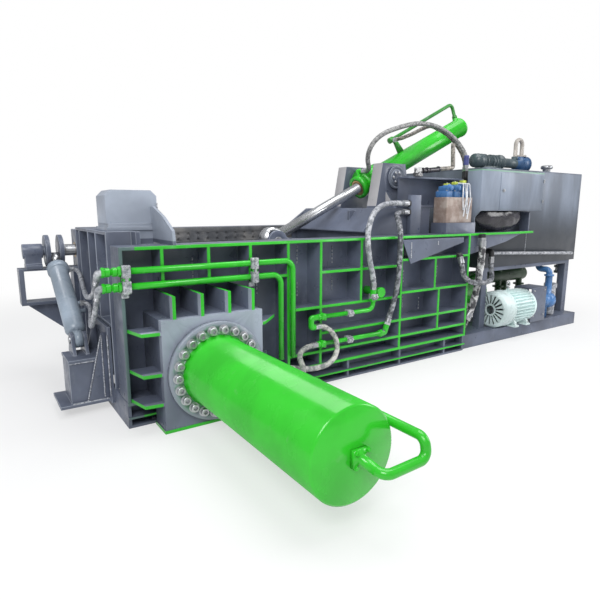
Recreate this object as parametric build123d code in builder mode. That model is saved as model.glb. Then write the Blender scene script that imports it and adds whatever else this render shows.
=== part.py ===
from build123d import *
import os
from math import asin, atan2, cos, degrees, hypot, pi, radians, sin, sqrt, tan

os.makedirs("parts", exist_ok=True)

# A hydraulic scrap metal baler: a ribbed press box, a main ram from the right, a side ram
# from the near side, a lid closed by an inclined cylinder, a discharge door in the far wall
# turned by a small cylinder at the left end, and a power unit on its own base at the right.
# The origin is under the middle of the main frame, X runs along it, Z is up, in millimetres.

# Main frame
frame_length = 3790
frame_width = 1824
skid_height = 205
near_wall_top = 1344
far_wall_top = 1416
end_wall_top = 1440
wall_outer_depth = 210
skin = 30
liner = 20
rib = 25
flange = 25
end_skin_x = 190
end_skin = 35
left = -frame_length / 2
right = frame_length / 2
near = -frame_width / 2
far = frame_width / 2
inner_half = far - wall_outer_depth - skin - liner

# Press box
floor_plate = 25
floor_top = skid_height + floor_plate
box_height = 500
box_top = floor_top + box_height
box_left = left + end_skin_x + end_skin + 15
ram_gap = 3
bay_length = 735

# Main ram
main_face_x = left + 2180
main_stroke = 1190
main_pusher_length = 450
main_rod_r = 140
main_bore_r = 210
main_tube_r = 255
main_axis_z = (floor_top + box_top) / 2
crosshead_x = left + 3400
crosshead = 80
main_tube_length = 1680
piston_gap = 0.08
piston_length = 120
gland_gap = 0.05

# Side ram
side_x = left + 605
side_z = 418
side_stroke = 1270
side_rod_r = 130
side_bore_r = 215
side_tube_r = 264
side_flange_r = 376
side_flange = 52
side_tube_end_y = -2740
side_bolt_circle_r = 315
side_bolt_count = 22
mount_plate = 60
mount_front_y = near - 218
mount_left_x = left + 202
mount_right_x = left + 1008
mount_top = 837
mount_rib_top = 1003
pusher_depth = 220

# Lid and its hinge
hinge_x = left + 2200
hinge_z = 1180
hinge_pin_r = 55
hinge_boss_r = 110
lid_tip_r = 1735
lid_right_x = left + 2150
lid_gap = 8
lid_rib = 30
lid_lug = 40
lid_pin_x = left + 1780
lid_pin_z = 1285
lid_pin_r = 45
lid_lug_r = 110
lid_play = 32

# Lid cylinder, carried at its trunnion between two ears
trunnion_x = left + 3127
trunnion_z = 1950
trunnion_pin_r = 75
bush_wall = 20
lid_tube_r = 115
lid_bore_r = 90
lid_rod_r = 56
lid_tube_front = 243
lid_tube_back = 1653
lid_eye_reach = hypot(trunnion_x - lid_pin_x, trunnion_z - lid_pin_z) + 4.84
lid_tilt = atan2(trunnion_z - lid_pin_z, trunnion_x - lid_pin_x) - radians(0.86)
ear_inner_y = 234
ear = 150
ear_top = 2100
hood_top = 1620
hood_half = 650

# Discharge door and its cylinder
door_shaft_y = 788
door_shaft_z = 1220
door_shaft_r = 55
door_top = 1190
door_side_gap = 5
crank_r = 105
crank_angle = 225
crank_disc_r = 148
crank_disc = 40
crank_pin_r = 30
door_play = 16
tip_x = left - 187
tip_foot_y = -181
tip_foot_z = 560
tip_tube_r = 80
tip_bore_r = 62
tip_rod_r = 35
tip_eye = 60
tip_eye_r = 75
outer_bearing_x = left - 450

# Power unit
base_left = left + 3830
base_right = left + 6280
base_near = near + 50
base_far = 862
base_height = 160
tank_left = left + 4250
tank_right = left + 6390
tank_near = near + 190
tank_far = 738
tank_bottom = 905
tank_top = 2090
tank_wall = 12
tank_cover_plate = 12
motor_y = near + 147
motor_z = 385
motor_left = left + 4435
motor_r = 225
deck_right = left + 4990
cabinet_left = left + 3917
cabinet_right = left + 5130
cabinet_back = tank_near


def block(x0, x1, y0, y1, z0, z1, mode=Mode.ADD):
    """A plate or bar between two opposite corners."""
    with Locations(((x0 + x1) / 2, (y0 + y1) / 2, (z0 + z1) / 2)):
        Box(abs(x1 - x0), abs(y1 - y0), abs(z1 - z0), mode=mode)


def face_y(y):
    """A plane at this depth, seen from the near side: local x is X and local y is Z."""
    return Plane(origin=(0, y, 0), x_dir=(1, 0, 0), z_dir=(0, -1, 0))


def face_x(x):
    """A plane across the machine, seen from the right: local x is Y and local y is Z."""
    return Plane(origin=(x, 0, 0), x_dir=(0, 1, 0), z_dir=(1, 0, 0))


def cut_plate(plane, points, thickness, mode=Mode.ADD):
    """A plate burnt out to a straight-sided outline, thickened along the plane's normal."""
    with BuildSketch(plane) as outline:
        with BuildLine():
            Polyline(*points, close=True)
        make_face()
    extrude(outline.sketch, amount=thickness, mode=mode)


def plate_y(y0, y1, points, mode=Mode.ADD):
    """A plate that stands along the machine, between two depths."""
    cut_plate(face_y(y1), points, y1 - y0, mode)


def plate_x(x0, x1, points, mode=Mode.ADD):
    """A plate that stands across the machine, between two stations."""
    cut_plate(face_x(x0), points, x1 - x0, mode)


def disc(centre, direction, radius, length, mode=Mode.ADD):
    """A round bar that starts at centre and runs along direction."""
    with BuildSketch(Plane(origin=centre, z_dir=direction)) as round_face:
        Circle(radius)
    extrude(round_face.sketch, amount=length, mode=mode)


def turned(centre, direction, profile, mode=Mode.ADD):
    """A turned piece: each profile point is a distance along the axis and a radius."""
    across = (0, 1, 0) if abs(direction[0]) > 0.5 else (1, 0, 0)
    with BuildSketch(Plane(origin=centre, x_dir=direction, z_dir=across)) as section:
        with BuildLine():
            Polyline(*profile, close=True)
        make_face()
    revolve(section.sketch, axis=Axis(centre, direction), mode=mode)


def ring_profile(start, end, inner, outer):
    """The half section of a plain ring."""
    return [(start, inner), (end, inner), (end, outer), (start, outer)]


def bent_tube(points, bend_radius, radius):
    """A pipe along straight runs joined by bends."""
    with BuildLine() as route:
        FilletPolyline(*points, radius=bend_radius)
    with BuildSketch(Plane(origin=route.line @ 0, z_dir=route.line % 0)) as section:
        Circle(radius)
    sweep(section.sketch, path=route.line)


# Skid: two ribbed side beams joined by cross plates, with the floor of the press box and tunnel
skin_in = inner_half + liner
skin_out = skin_in + skin
cross_stations = [0, 690, 1380, 2070, 2760, 3450, frame_length - rib]
with BuildPart() as base_skid:
    for side, edge in ((1, near), (-1, far)):
        web = edge + side * 130
        block(left, right, web, web + side * 20, 0, skid_height)
        block(left, right, edge, edge + side * 250, skid_height - flange, skid_height)
        block(left, right, edge, web, 75, 90)
        block(left, right, edge + side * 20, edge + side * 250, 0, 20)
        for station in cross_stations:
            block(left + station, left + station + rib, edge + side * 20, web, 0, skid_height)
    for station in cross_stations:
        block(left + station, left + station + rib, near + 150, far - 150, 0, skid_height)
    block(left + end_skin_x + end_skin, crosshead_x, -skin_in, skin_in, skid_height, floor_top)
    anchor_x = frame_length - 400
    anchor_y = frame_width - 2 * 75
    with BuildSketch(Plane.XY) as anchors:
        with GridLocations(anchor_x, anchor_y, 2, 2):
            Circle(18)
    extrude(anchors.sketch, amount=30, mode=Mode.SUBTRACT)
base_skid.part.label = "base_skid"
export_step(base_skid.part, "parts/base_skid.step")

# Near wall: skin with outside ribs and the opening for the side ram
bay_left = box_left
bay_right = box_left + bay_length
with BuildPart() as near_side_wall:
    block(left, right, -skin_out, -skin_in, skid_height, near_wall_top)
    block(left, right, near, -skin_out, near_wall_top - flange, near_wall_top)
    full_ribs = [0, 1382, 1726, 2728, frame_length - rib]
    for station in full_ribs:
        block(left + station, left + station + rib, near, -skin_out, skid_height, near_wall_top)
    for station in (292, 657, 1020):
        block(left + station, left + station + rib, near, -skin_out, 1050, near_wall_top)
    block(left + 2200, left + 2200 + rib, near, -skin_out, 724, near_wall_top)
    block(left + 3228, left + 3228 + rib, near, -skin_out, 759, 1092)
    block(left + 3298, left + 3298 + rib, near, -skin_out, 308, 771)
    rows = [(0, 1382, 1038), (1726, 2728, 1038), (2728, 3765, 1092), (1382, 2728, 724),
            (2728, 3765, 759), (1726, 3765, 478), (1382, 3765, 308)]
    for start, end, height in rows:
        block(left + start, left + end, near, -skin_out, height, height + rib)
    block(bay_left, bay_right, -skin_out, -skin_in, skid_height, box_top + ram_gap, Mode.SUBTRACT)
near_side_wall.part.label = "near_side_wall"
export_step(near_side_wall.part, "parts/near_side_wall.step")

# Far wall: the same build, taller, with the doorway for the finished bale
door_left = box_left
door_right = box_left + bay_length
wall_back = left + 2430
with BuildPart() as far_side_wall:
    block(left, right, skin_in, skin_out, skid_height, far_wall_top)
    block(left, right, skin_out, far, far_wall_top - flange, far_wall_top)
    for station in (0, 1000, 1382, 1726, 2200, 2728, 3228, frame_length - rib):
        block(left + station, left + station + rib, skin_out, far, skid_height, far_wall_top)
    for height in (1038, 724, 308):
        block(left + 1000, right, skin_out, far, height, height + rib)
    block(door_left, door_right, skin_in, skin_out, skid_height, door_top + 15, Mode.SUBTRACT)
    for station in (0, 1000):
        shaft_seat = (left + station, door_shaft_y, door_shaft_z)
        disc(shaft_seat, (1, 0, 0), 95, rib + 25)
        disc((left + station - 1, door_shaft_y, door_shaft_z), (1, 0, 0), 75.3, rib + 60, Mode.SUBTRACT)
far_side_wall.part.label = "far_side_wall"
export_step(far_side_wall.part, "parts/far_side_wall.step")

# End wall: skin, upright ribs and a top plate
with BuildPart() as end_wall:
    block(left + end_skin_x, left + end_skin_x + end_skin, -skin_in, skin_in, skid_height, end_wall_top)
    for depth in (374, 736, 1032, 1418):
        middle = near + depth
        block(left, left + end_skin_x, middle - rib / 2, middle + rib / 2, skid_height, end_wall_top)
    block(left, left + end_skin_x, near + 374, near + 1418, 700, 700 + rib)
    block(left, left + end_skin_x + end_skin, near + 362, skin_in, end_wall_top - flange, end_wall_top)
end_wall.part.label = "end_wall"
export_step(end_wall.part, "parts/end_wall.step")

# Wear plates on the walls, drilled for their countersunk bolts
liner_right = left + 2430
blade_low = 1256
with BuildPart() as box_liners:
    block(box_left, liner_right, -skin_in, -inner_half, floor_top, near_wall_top)
    block(bay_left, bay_right, -skin_in, -inner_half, floor_top, box_top + ram_gap, Mode.SUBTRACT)
    block(box_left, liner_right, inner_half, skin_in, floor_top, blade_low)
    block(door_left, door_right, inner_half, skin_in, floor_top, door_top + 15, Mode.SUBTRACT)
    block(box_left - 15, box_left, -inner_half + 1, inner_half - 1, floor_top, box_top)
box_liners.part.label = "box_liners"
export_step(box_liners.part, "parts/box_liners.step")

blade_pitch = 112
blade_count = 19
blade_middle = (box_left + liner_right) / 2
with BuildPart() as far_top_blade:
    block(box_left, liner_right, inner_half, skin_in, blade_low, far_wall_top)
    with BuildSketch(face_y(inner_half)) as blade_holes:
        with Locations((blade_middle, (1286 + 1347) / 2)):
            with GridLocations(blade_pitch, 1347 - 1286, blade_count, 2):
                RegularPolygon(17, 8)
    extrude(blade_holes.sketch, amount=-liner / 2, mode=Mode.SUBTRACT)
far_top_blade.part.label = "far_top_blade"
export_step(far_top_blade.part, "parts/far_top_blade.step")

# Fixed roof over the bale bay, a ribbed box, with the heavy block on its stepped base and its brace
roof_right = left + 450
roof_top = 1330
block_left = left + 45
block_right = left + 446
block_near = near + 500
block_far = near + 800
block_top = 1755
corner = 45
with BuildPart() as bay_roof:
    block(box_left - 15, roof_right, -inner_half, inner_half, box_top + 3, box_top + 63)
    block(roof_right - 40, roof_right, -inner_half, inner_half, box_top + 63, roof_top)
    block(box_left - 15, roof_right, -inner_half, inner_half, roof_top - 30, roof_top)
    for middle in (-inner_half + 15, -400, -200, 0, 200, 400, inner_half - 15):
        block(box_left - 15, roof_right, middle - 15, middle + 15, box_top + 3, roof_top)
    block(box_left - 15, left + 400, block_near - 18, block_far + 42, roof_top, end_wall_top)
    block(left + 40, left + 420, block_near - 28, block_far + 52, end_wall_top, end_wall_top + 28)
    block(left + 55, left + 436, block_near - 18, block_far + 42, end_wall_top + 28, 1495)
    plate_y(block_near, block_far, [(block_left, 1495), (block_right, 1495),
                                    (block_right, block_top - corner), (block_right - corner, block_top),
                                    (block_left + corner, block_top), (block_left, block_top - corner)])
    plate_x(left + 392, left + 417, [(near, near_wall_top), (block_near - 28, near_wall_top),
                                     (block_near - 28, 1495), (block_near, 1495), (block_near, 1628),
                                     (block_near - 55, 1628), (near + 215, 1550), (near + 20, 1450)])
bay_roof.part.label = "bay_roof"
export_step(bay_roof.part, "parts/bay_roof.step")

# Roof of the ram tunnel with the lid's hinge brackets
tunnel_left = left + 2190
bracket_sets = ((-480, -420), (-240, -180), (180, 240), (420, 480))
with BuildPart() as tunnel_roof:
    block(tunnel_left, crosshead_x, -inner_half, inner_half, box_top + 3, box_top + 53)
    for y0, y1 in bracket_sets:
        plate_y(y0, y1, [(tunnel_left + 5, box_top + 53), (left + 2480, box_top + 53), (left + 2480, 1000),
                         (hinge_x + hinge_boss_r * cos(radians(45)), hinge_z + hinge_boss_r * sin(radians(45))),
                         (tunnel_left + 5, hinge_z)])
        disc((hinge_x, y0, hinge_z), (0, 1, 0), hinge_boss_r, y1 - y0)
    disc((hinge_x, -hood_half, hinge_z), (0, 1, 0), hinge_pin_r + gland_gap, 2 * hood_half, Mode.SUBTRACT)
tunnel_roof.part.label = "tunnel_roof"
export_step(tunnel_roof.part, "parts/tunnel_roof.step")

# Hood over the ram tunnel, with the two ears that carry the lid cylinder
ear_outline = [(left + 2847, hood_top), (left + 3367, hood_top), (left + 3271, ear_top), (left + 2934, ear_top)]
trunnion_bush_r = trunnion_pin_r + bush_wall


def ear_solid(side):
    """One ear of the lid cylinder with its brace, on this side of the middle."""
    inside = side * ear_inner_y
    outside = side * (ear_inner_y + ear)
    plate_y(min(inside, outside), max(inside, outside), ear_outline)
    disc((trunnion_x, min(inside, outside) - 1, trunnion_z), (0, 1, 0), trunnion_bush_r + 0.3,
         ear + 2, Mode.SUBTRACT)
    plate_x(left + 2985, left + 3010, [(outside, hood_top), (outside + side * 150, hood_top),
                                       (outside, hood_top + 180)])


throat_x = left + 2500
hood_front_low = (left + 2440, 1390)
hood_front_high = (left + 2640, hood_top)
with BuildPart() as cylinder_hood:
    plate_y(-hood_half, -hood_half + 30, [(throat_x, box_top + 53), (crosshead_x, box_top + 53),
                                          (crosshead_x, hood_top), hood_front_high, hood_front_low,
                                          (hood_front_low[0], 1378), (throat_x, 1378)])
    plate_y(hood_half - 30, hood_half, [(throat_x, box_top + 53), (crosshead_x, box_top + 53),
                                        (crosshead_x, hood_top), hood_front_high, (left + 2250, 1352),
                                        (throat_x, 1352)])
    plate_y(-hood_half + 30, hood_half - 30, [hood_front_low, (hood_front_low[0] + 32, 1390),
                                              (hood_front_high[0] + 20, hood_top - 25),
                                              (crosshead_x, hood_top - 25), (crosshead_x, hood_top),
                                              hood_front_high])
    block(throat_x, throat_x + 30, -hood_half + 30, hood_half - 30, box_top + 53, 1390)
    block(hood_front_low[0], throat_x, -hood_half + 30, hood_half - 30, 1378, 1390)
    for y0 in (-ear_inner_y - ear + 60, ear_inner_y + 60):
        block(throat_x + 30, crosshead_x, y0, y0 + 30, box_top + 53, hood_top - 25)
    ear_solid(-1)
    ear_solid(1)
cylinder_hood.part.label = "cylinder_hood"
export_step(cylinder_hood.part, "parts/cylinder_hood.step")

with BuildPart() as bushes:
    for side in (-1, 1):
        turned((trunnion_x, 0, trunnion_z), (0, side, 0),
               ring_profile(ear_inner_y, ear_inner_y + ear, trunnion_pin_r + gland_gap, trunnion_bush_r))
    for station in (0, 1000):
        turned((left + station, door_shaft_y, door_shaft_z), (1, 0, 0),
               ring_profile(0, rib + 25, door_shaft_r + gland_gap, 75))
bushes.part.label = "bushes"
export_step(bushes.part, "parts/bushes.step")

with BuildPart() as trunnion_caps:
    for side in (-1, 1):
        start = ear_inner_y + ear
        turned((trunnion_x, 0, trunnion_z), (0, side, 0),
               [(start, 0), (start, 122), (start + 22, 122), (start + 22, 104), (start + 14, 100),
                (start + 14, 84), (start + 26, 80), (start + 26, 0)])
trunnion_caps.part.label = "trunnion_caps"
export_step(trunnion_caps.part, "parts/trunnion_caps.step")

# Crosshead that the main cylinder pushes against
with BuildPart() as rear_crosshead:
    block(crosshead_x, crosshead_x + crosshead, -skin_in, skin_in, skid_height, near_wall_top)
    for depth in (-skin_in + 60, skin_in - 90):
        block(crosshead_x + crosshead, right, depth, depth + 30, skid_height, near_wall_top)
    disc((crosshead_x - 1, 0, main_axis_z), (1, 0, 0), main_tube_r + 0.3, crosshead + 2, Mode.SUBTRACT)
rear_crosshead.part.label = "rear_crosshead"
export_step(rear_crosshead.part, "parts/rear_crosshead.step")

# Main cylinder: tube with flange, gland, piston, rod and pusher
main_front = crosshead_x
main_back = main_front + main_tube_length
main_axis = (0, 0, main_axis_z)
with BuildPart() as main_barrel:
    turned((main_front, 0, main_axis_z), (1, 0, 0),
           [(0, main_bore_r), (main_tube_length - 70, main_bore_r), (main_tube_length - 70, 0),
            (main_tube_length, 0), (main_tube_length, main_tube_r - 15),
            (main_tube_length - 15, main_tube_r), (crosshead + 70, main_tube_r), (crosshead + 70, 330),
            (crosshead, 330), (crosshead, main_tube_r), (0, main_tube_r)])
main_barrel.part.label = "main_barrel"
export_step(main_barrel.part, "parts/main_barrel.step")

pusher_back_x = main_face_x + main_pusher_length
main_piston_x = main_back - 70 - 20 - piston_length
with BuildPart() as main_rod:
    turned((pusher_back_x, 0, main_axis_z), (1, 0, 0),
           [(0, 0), (0, main_rod_r), (main_piston_x - pusher_back_x, main_rod_r),
            (main_piston_x - pusher_back_x, main_bore_r - piston_gap),
            (main_piston_x - pusher_back_x + piston_length, main_bore_r - piston_gap),
            (main_piston_x - pusher_back_x + piston_length, 0)])
main_rod.part.label = "main_rod"
export_step(main_rod.part, "parts/main_rod.step")

pusher_half = inner_half - ram_gap
with BuildPart() as main_pusher:
    block(main_face_x, pusher_back_x, -pusher_half, pusher_half, floor_top + ram_gap, box_top - ram_gap)
    for y0, y1 in ((-600, -180), (180, 600)):
        block(main_face_x + 90, pusher_back_x, y0, y1, floor_top + 60, box_top - 60, Mode.SUBTRACT)
main_pusher.part.label = "main_pusher"
export_step(main_pusher.part, "parts/main_pusher.step")

# Side cylinder: the welded mount on the near wall, then the cylinder itself
with BuildPart() as side_cylinder_mount:
    block(mount_left_x, mount_right_x, mount_front_y, mount_front_y + mount_plate, 0, mount_top)
    cheek = [(mount_front_y + mount_plate, 0), (near, 0), (near, skid_height), (-skin_out, skid_height),
             (-skin_out, mount_top), (mount_front_y + mount_plate, mount_top)]
    for x0 in (mount_left_x, mount_right_x - 30):
        plate_x(x0, x0 + 30, cheek)
    block(mount_left_x + 30, mount_right_x - 30, mount_front_y + mount_plate, -skin_out,
          mount_top - 30, mount_top)
    block(mount_left_x - 8, mount_right_x + 8, mount_front_y - 6, near, 0, 25)
    for station in (301, 513, 730, 930):
        x0 = left + station - rib / 2
        block(x0, x0 + rib, mount_front_y, -skin_out, mount_top, mount_rib_top)
    for height in (733, 433, 210):
        with BuildSketch(Plane.XY.offset(height)) as shelf:
            with BuildLine():
                Polyline((left + 25, near), (left + 69, mount_front_y + 20), (mount_left_x, mount_front_y + 4),
                         (mount_left_x, near), close=True)
            make_face()
        extrude(shelf.sketch, amount=rib)
    for height, reach in ((706, 240), (400, 160)):
        with BuildSketch(Plane.XY.offset(height)) as shelf:
            with BuildLine():
                Polyline((mount_right_x, mount_front_y + 4), (mount_right_x + 40, mount_front_y + 20),
                         (mount_right_x + reach, near), (mount_right_x, near), close=True)
            make_face()
        extrude(shelf.sketch, amount=rib)
    disc((side_x, mount_front_y - 1, side_z), (0, 1, 0), side_tube_r + 0.3, mount_plate + 2, Mode.SUBTRACT)
    with BuildSketch(Plane(origin=(side_x, mount_front_y, side_z), x_dir=(1, 0, 0),
                           z_dir=(0, 1, 0))) as stud_holes:
        with PolarLocations(side_bolt_circle_r, side_bolt_count):
            Circle(18.3)
    extrude(stud_holes.sketch, amount=45, mode=Mode.SUBTRACT)
side_cylinder_mount.part.label = "side_cylinder_mount"
export_step(side_cylinder_mount.part, "parts/side_cylinder_mount.step")

side_length = mount_front_y - side_tube_end_y
side_top = (side_x, mount_front_y, side_z)
gland_length = 140
with BuildPart() as side_barrel:
    turned(side_top, (0, -1, 0),
           [(-mount_plate, side_bore_r), (side_length - 60, side_bore_r), (side_length - 60, 0),
            (side_length, 0), (side_length, side_tube_r - 14), (side_length - 10, side_tube_r),
            (side_flange + 26, side_tube_r), (side_flange + 14, side_tube_r + 12),
            (side_flange, side_tube_r + 12), (side_flange, side_flange_r - 6),
            (side_flange - 6, side_flange_r), (0, side_flange_r), (0, side_tube_r),
            (-mount_plate, side_tube_r)])
    with BuildSketch(Plane(origin=(side_x, mount_front_y, side_z), x_dir=(1, 0, 0),
                           z_dir=(0, 1, 0))) as clear_holes:
        with PolarLocations(side_bolt_circle_r, side_bolt_count):
            Circle(18.3)
    extrude(clear_holes.sketch, amount=-side_flange - 20, mode=Mode.SUBTRACT)
side_barrel.part.label = "side_barrel"
export_step(side_barrel.part, "parts/side_barrel.step")

with BuildPart() as flange_bolts:
    side_seat = Plane(origin=(side_x, mount_front_y - side_flange, side_z), x_dir=(1, 0, 0), z_dir=(0, 1, 0))
    with BuildSketch(side_seat) as shanks:
        with PolarLocations(side_bolt_circle_r, side_bolt_count):
            Circle(18)
    extrude(shanks.sketch, amount=side_flange + 40)
    with BuildSketch(side_seat) as side_heads:
        with PolarLocations(side_bolt_circle_r, side_bolt_count):
            Circle(30)
    extrude(side_heads.sketch, amount=-36)
    with BuildSketch(Plane(origin=(crosshead_x + crosshead + 70, 0, main_axis_z), z_dir=(1, 0, 0))) as main_heads:
        with PolarLocations(292, 16):
            Circle(27)
    extrude(main_heads.sketch, amount=36)
flange_bolts.part.label = "flange_bolts"
export_step(flange_bolts.part, "parts/flange_bolts.step")

with BuildPart() as ram_glands:
    turned((side_x, mount_front_y + mount_plate, side_z), (0, -1, 0),
           ring_profile(0, gland_length, side_rod_r + gland_gap, side_bore_r - gland_gap))
    turned((main_front, 0, main_axis_z), (1, 0, 0),
           ring_profile(0, gland_length, main_rod_r + gland_gap, main_bore_r - gland_gap))
ram_glands.part.label = "ram_glands"
export_step(ram_glands.part, "parts/ram_glands.step")

side_face_y = -inner_half
side_pusher_back = side_face_y - pusher_depth
side_piston_y = side_tube_end_y + 60 + 15
with BuildPart() as side_rod:
    turned((side_x, side_piston_y, side_z), (0, 1, 0),
           [(0, 0), (0, side_bore_r - piston_gap), (piston_length, side_bore_r - piston_gap),
            (piston_length, side_rod_r), (side_pusher_back - side_piston_y, side_rod_r),
            (side_pusher_back - side_piston_y, 0)])
side_rod.part.label = "side_rod"
export_step(side_rod.part, "parts/side_rod.step")

with BuildPart() as side_pusher:
    block(bay_left + 5, bay_right - 5, side_pusher_back, side_face_y, floor_top + ram_gap, box_top - ram_gap)
    for x0, x1 in ((bay_left + 50, side_x - 150), (side_x + 150, bay_right - 50)):
        block(x0, x1, side_pusher_back, side_face_y - 70, floor_top + 60, box_top - 60, Mode.SUBTRACT)
side_pusher.part.label = "side_pusher"
export_step(side_pusher.part, "parts/side_pusher.step")

# Feed pipe of the side cylinder: from the cap's port back along the tube
cap_port = (side_x + 28, side_tube_end_y, 408)
feed_r = 27
feed_x = side_x + side_tube_r + 45
feed_z = 500
with BuildPart() as side_feed_pipe:
    block(cap_port[0] - 48, cap_port[0] + 48, side_tube_end_y - 34, side_tube_end_y,
          cap_port[2] - 48, cap_port[2] + 48)
    bent_tube([(cap_port[0], side_tube_end_y - 20, cap_port[2]), (cap_port[0], side_tube_end_y - 190, 388),
               (feed_x, side_tube_end_y - 190, 398), (feed_x, side_tube_end_y - 170, feed_z),
               (feed_x, -1960, feed_z)], 50, feed_r)
    turned((feed_x, -1960, feed_z), (0, 1, 0), [(-60, 0), (-60, 38), (0, 38), (0, 0)])
side_feed_pipe.part.label = "side_feed_pipe"
export_step(side_feed_pipe.part, "parts/side_feed_pipe.step")

# Lid: a ribbed box that lies in the press box and turns on the hinge pin
lid_low = box_top + 3
lid_half = inner_half - lid_gap


def lid_tip(z):
    """The station of the lid's curved end at a height."""
    return hinge_x - sqrt(lid_tip_r ** 2 - (z - hinge_z) ** 2)


lid_plate = 60
lid_end_top = 960
lid_crown = (left + 1500, 1075)
lid_back_top = 1040
rib_depths = [(-lid_half, -lid_half + lid_rib), (-340, -310), (-68 - lid_lug, -68), (68, 68 + lid_lug),
              (310, 340), (lid_half - lid_rib, lid_half)]
arm_depths = [(-340, -310), (-68 - lid_lug, -68), (68, 68 + lid_lug), (310, 340)]
with BuildPart() as lid:
    with BuildSketch(face_y(lid_half)) as lid_skin:
        with BuildLine():
            low = (lid_tip(lid_low), lid_low)
            mid = (lid_tip(lid_low + 30), lid_low + 30)
            high = (lid_tip(lid_low + lid_plate), lid_low + lid_plate)
            ThreePointArc(low, mid, high)
            Polyline(high, (lid_right_x, lid_low + lid_plate), (lid_right_x, lid_low), low)
        make_face()
    extrude(lid_skin.sketch, amount=2 * lid_half)
    for y0, y1 in rib_depths:
        with BuildSketch(face_y(y1)) as lid_web:
            with BuildLine():
                low = (lid_tip(lid_low + lid_plate), lid_low + lid_plate)
                mid = (lid_tip(880), 880)
                high = (lid_tip(lid_end_top), lid_end_top)
                ThreePointArc(low, mid, high)
                Polyline(high, lid_crown, (lid_right_x, lid_back_top), (lid_right_x, lid_low + lid_plate), low)
            make_face()
        extrude(lid_web.sketch, amount=y1 - y0)
    for y0, y1 in arm_depths:
        plate_y(y0, y1, [(left + 1800, 1040), (lid_right_x - 10, 1040), (hinge_x, hinge_z - 60),
                         (hinge_x, hinge_z + hinge_boss_r * 0.9), (left + 1900, 1090)])
        disc((hinge_x, y0, hinge_z), (0, 1, 0), hinge_boss_r, y1 - y0)
    for y0, y1 in ((-68 - lid_lug, -68), (68, 68 + lid_lug)):
        plate_y(y0, y1, [(lid_pin_x - 220, 1040), (lid_pin_x + 260, 1040),
                         (lid_pin_x + lid_lug_r * 0.8, lid_pin_z + lid_lug_r * 0.6),
                         (lid_pin_x - lid_lug_r * 0.8, lid_pin_z + lid_lug_r * 0.6)])
        disc((lid_pin_x, y0, lid_pin_z), (0, 1, 0), lid_lug_r, y1 - y0)
    for station in (700, 1000, 1300, 1600, 1900):
        block(left + station, left + station + 25, -lid_half, lid_half, lid_low + lid_plate, 950)
    block(lid_tip(lid_low + lid_plate), lid_tip(lid_low + lid_plate) + 30, -lid_half, lid_half,
          lid_low + lid_plate, 930)
    block(lid_right_x - 30, lid_right_x, -lid_half, lid_half, lid_low + lid_plate, 1000)
    disc((hinge_x, -lid_half, hinge_z), (0, 1, 0), hinge_pin_r + gland_gap, 2 * lid_half, Mode.SUBTRACT)
    disc((lid_pin_x, -lid_half, lid_pin_z), (0, 1, 0), lid_pin_r + 0.3, 2 * lid_half, Mode.SUBTRACT)
lid.part.label = "lid"
export_step(lid.part, "parts/lid.step")

with BuildPart() as lid_pin:
    turned((lid_pin_x, 0, lid_pin_z), (0, 1, 0),
           [(-68 - lid_lug - 10, 0), (-68 - lid_lug - 10, lid_pin_r), (68 + lid_lug, lid_pin_r),
            (68 + lid_lug, lid_pin_r + 20), (68 + lid_lug + 18, lid_pin_r + 20), (68 + lid_lug + 18, 0)])
lid_pin.part.label = "lid_pin"
export_step(lid_pin.part, "parts/lid_pin.step")

# Lid cylinder: tube with trunnion, gland, piston and rod, all on one sloping axis
lid_axis = (cos(lid_tilt), 0, sin(lid_tilt))
trunnion = (trunnion_x, 0, trunnion_z)


def along(distance, rise=0, depth=0):
    """A point by its place along the lid cylinder, above it and across it."""
    return (trunnion_x + distance * cos(lid_tilt) - rise * sin(lid_tilt), depth,
            trunnion_z + distance * sin(lid_tilt) + rise * cos(lid_tilt))


lid_gland_length = 110
with BuildPart() as lid_barrel:
    turned(trunnion, lid_axis,
           [(-lid_tube_front, 0), (-lid_tube_front, lid_tube_r + 13), (-lid_tube_front + 70, lid_tube_r + 13),
            (-lid_tube_front + 76, lid_tube_r), (-100, lid_tube_r), (-95, 150), (95, 150), (100, lid_tube_r),
            (lid_tube_back - 34, lid_tube_r), (lid_tube_back - 30, lid_tube_r + 6),
            (lid_tube_back - 4, lid_tube_r + 6), (lid_tube_back, lid_tube_r), (lid_tube_back, 0)])
    for side in (-1, 1):
        turned(trunnion, (0, side, 0), [(0, 0), (0, 118), (ear_inner_y - 8, 118), (ear_inner_y - 4, 90),
                                        (ear_inner_y - 4, trunnion_pin_r),
                                        (ear_inner_y + ear - 2, trunnion_pin_r), (ear_inner_y + ear - 2, 0)])
    disc(along(-lid_tube_front - 1), lid_axis, lid_bore_r, lid_tube_back + lid_tube_front - 39, Mode.SUBTRACT)
    disc(along(-150, lid_tube_r - 5), (-sin(lid_tilt), 0, cos(lid_tilt)), 30, 75)
    disc(along(1600, lid_tube_r - 5), (-sin(lid_tilt), 0, cos(lid_tilt)), 32, 35)
    with BuildSketch(Plane(origin=along(-150, lid_tube_r + 45), z_dir=(0, -1, 0))) as elbow:
        Circle(22)
    extrude(elbow.sketch, amount=70)
    disc(along(-lid_tube_front - 1), lid_axis, lid_bore_r, 400, Mode.SUBTRACT)
lid_barrel.part.label = "lid_barrel"
export_step(lid_barrel.part, "parts/lid_barrel.step")

with BuildPart() as lid_gland:
    turned(along(-lid_tube_front), lid_axis,
           ring_profile(0, lid_gland_length, lid_rod_r + gland_gap, lid_bore_r - gland_gap))
lid_gland.part.label = "lid_gland"
export_step(lid_gland.part, "parts/lid_gland.step")

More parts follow.
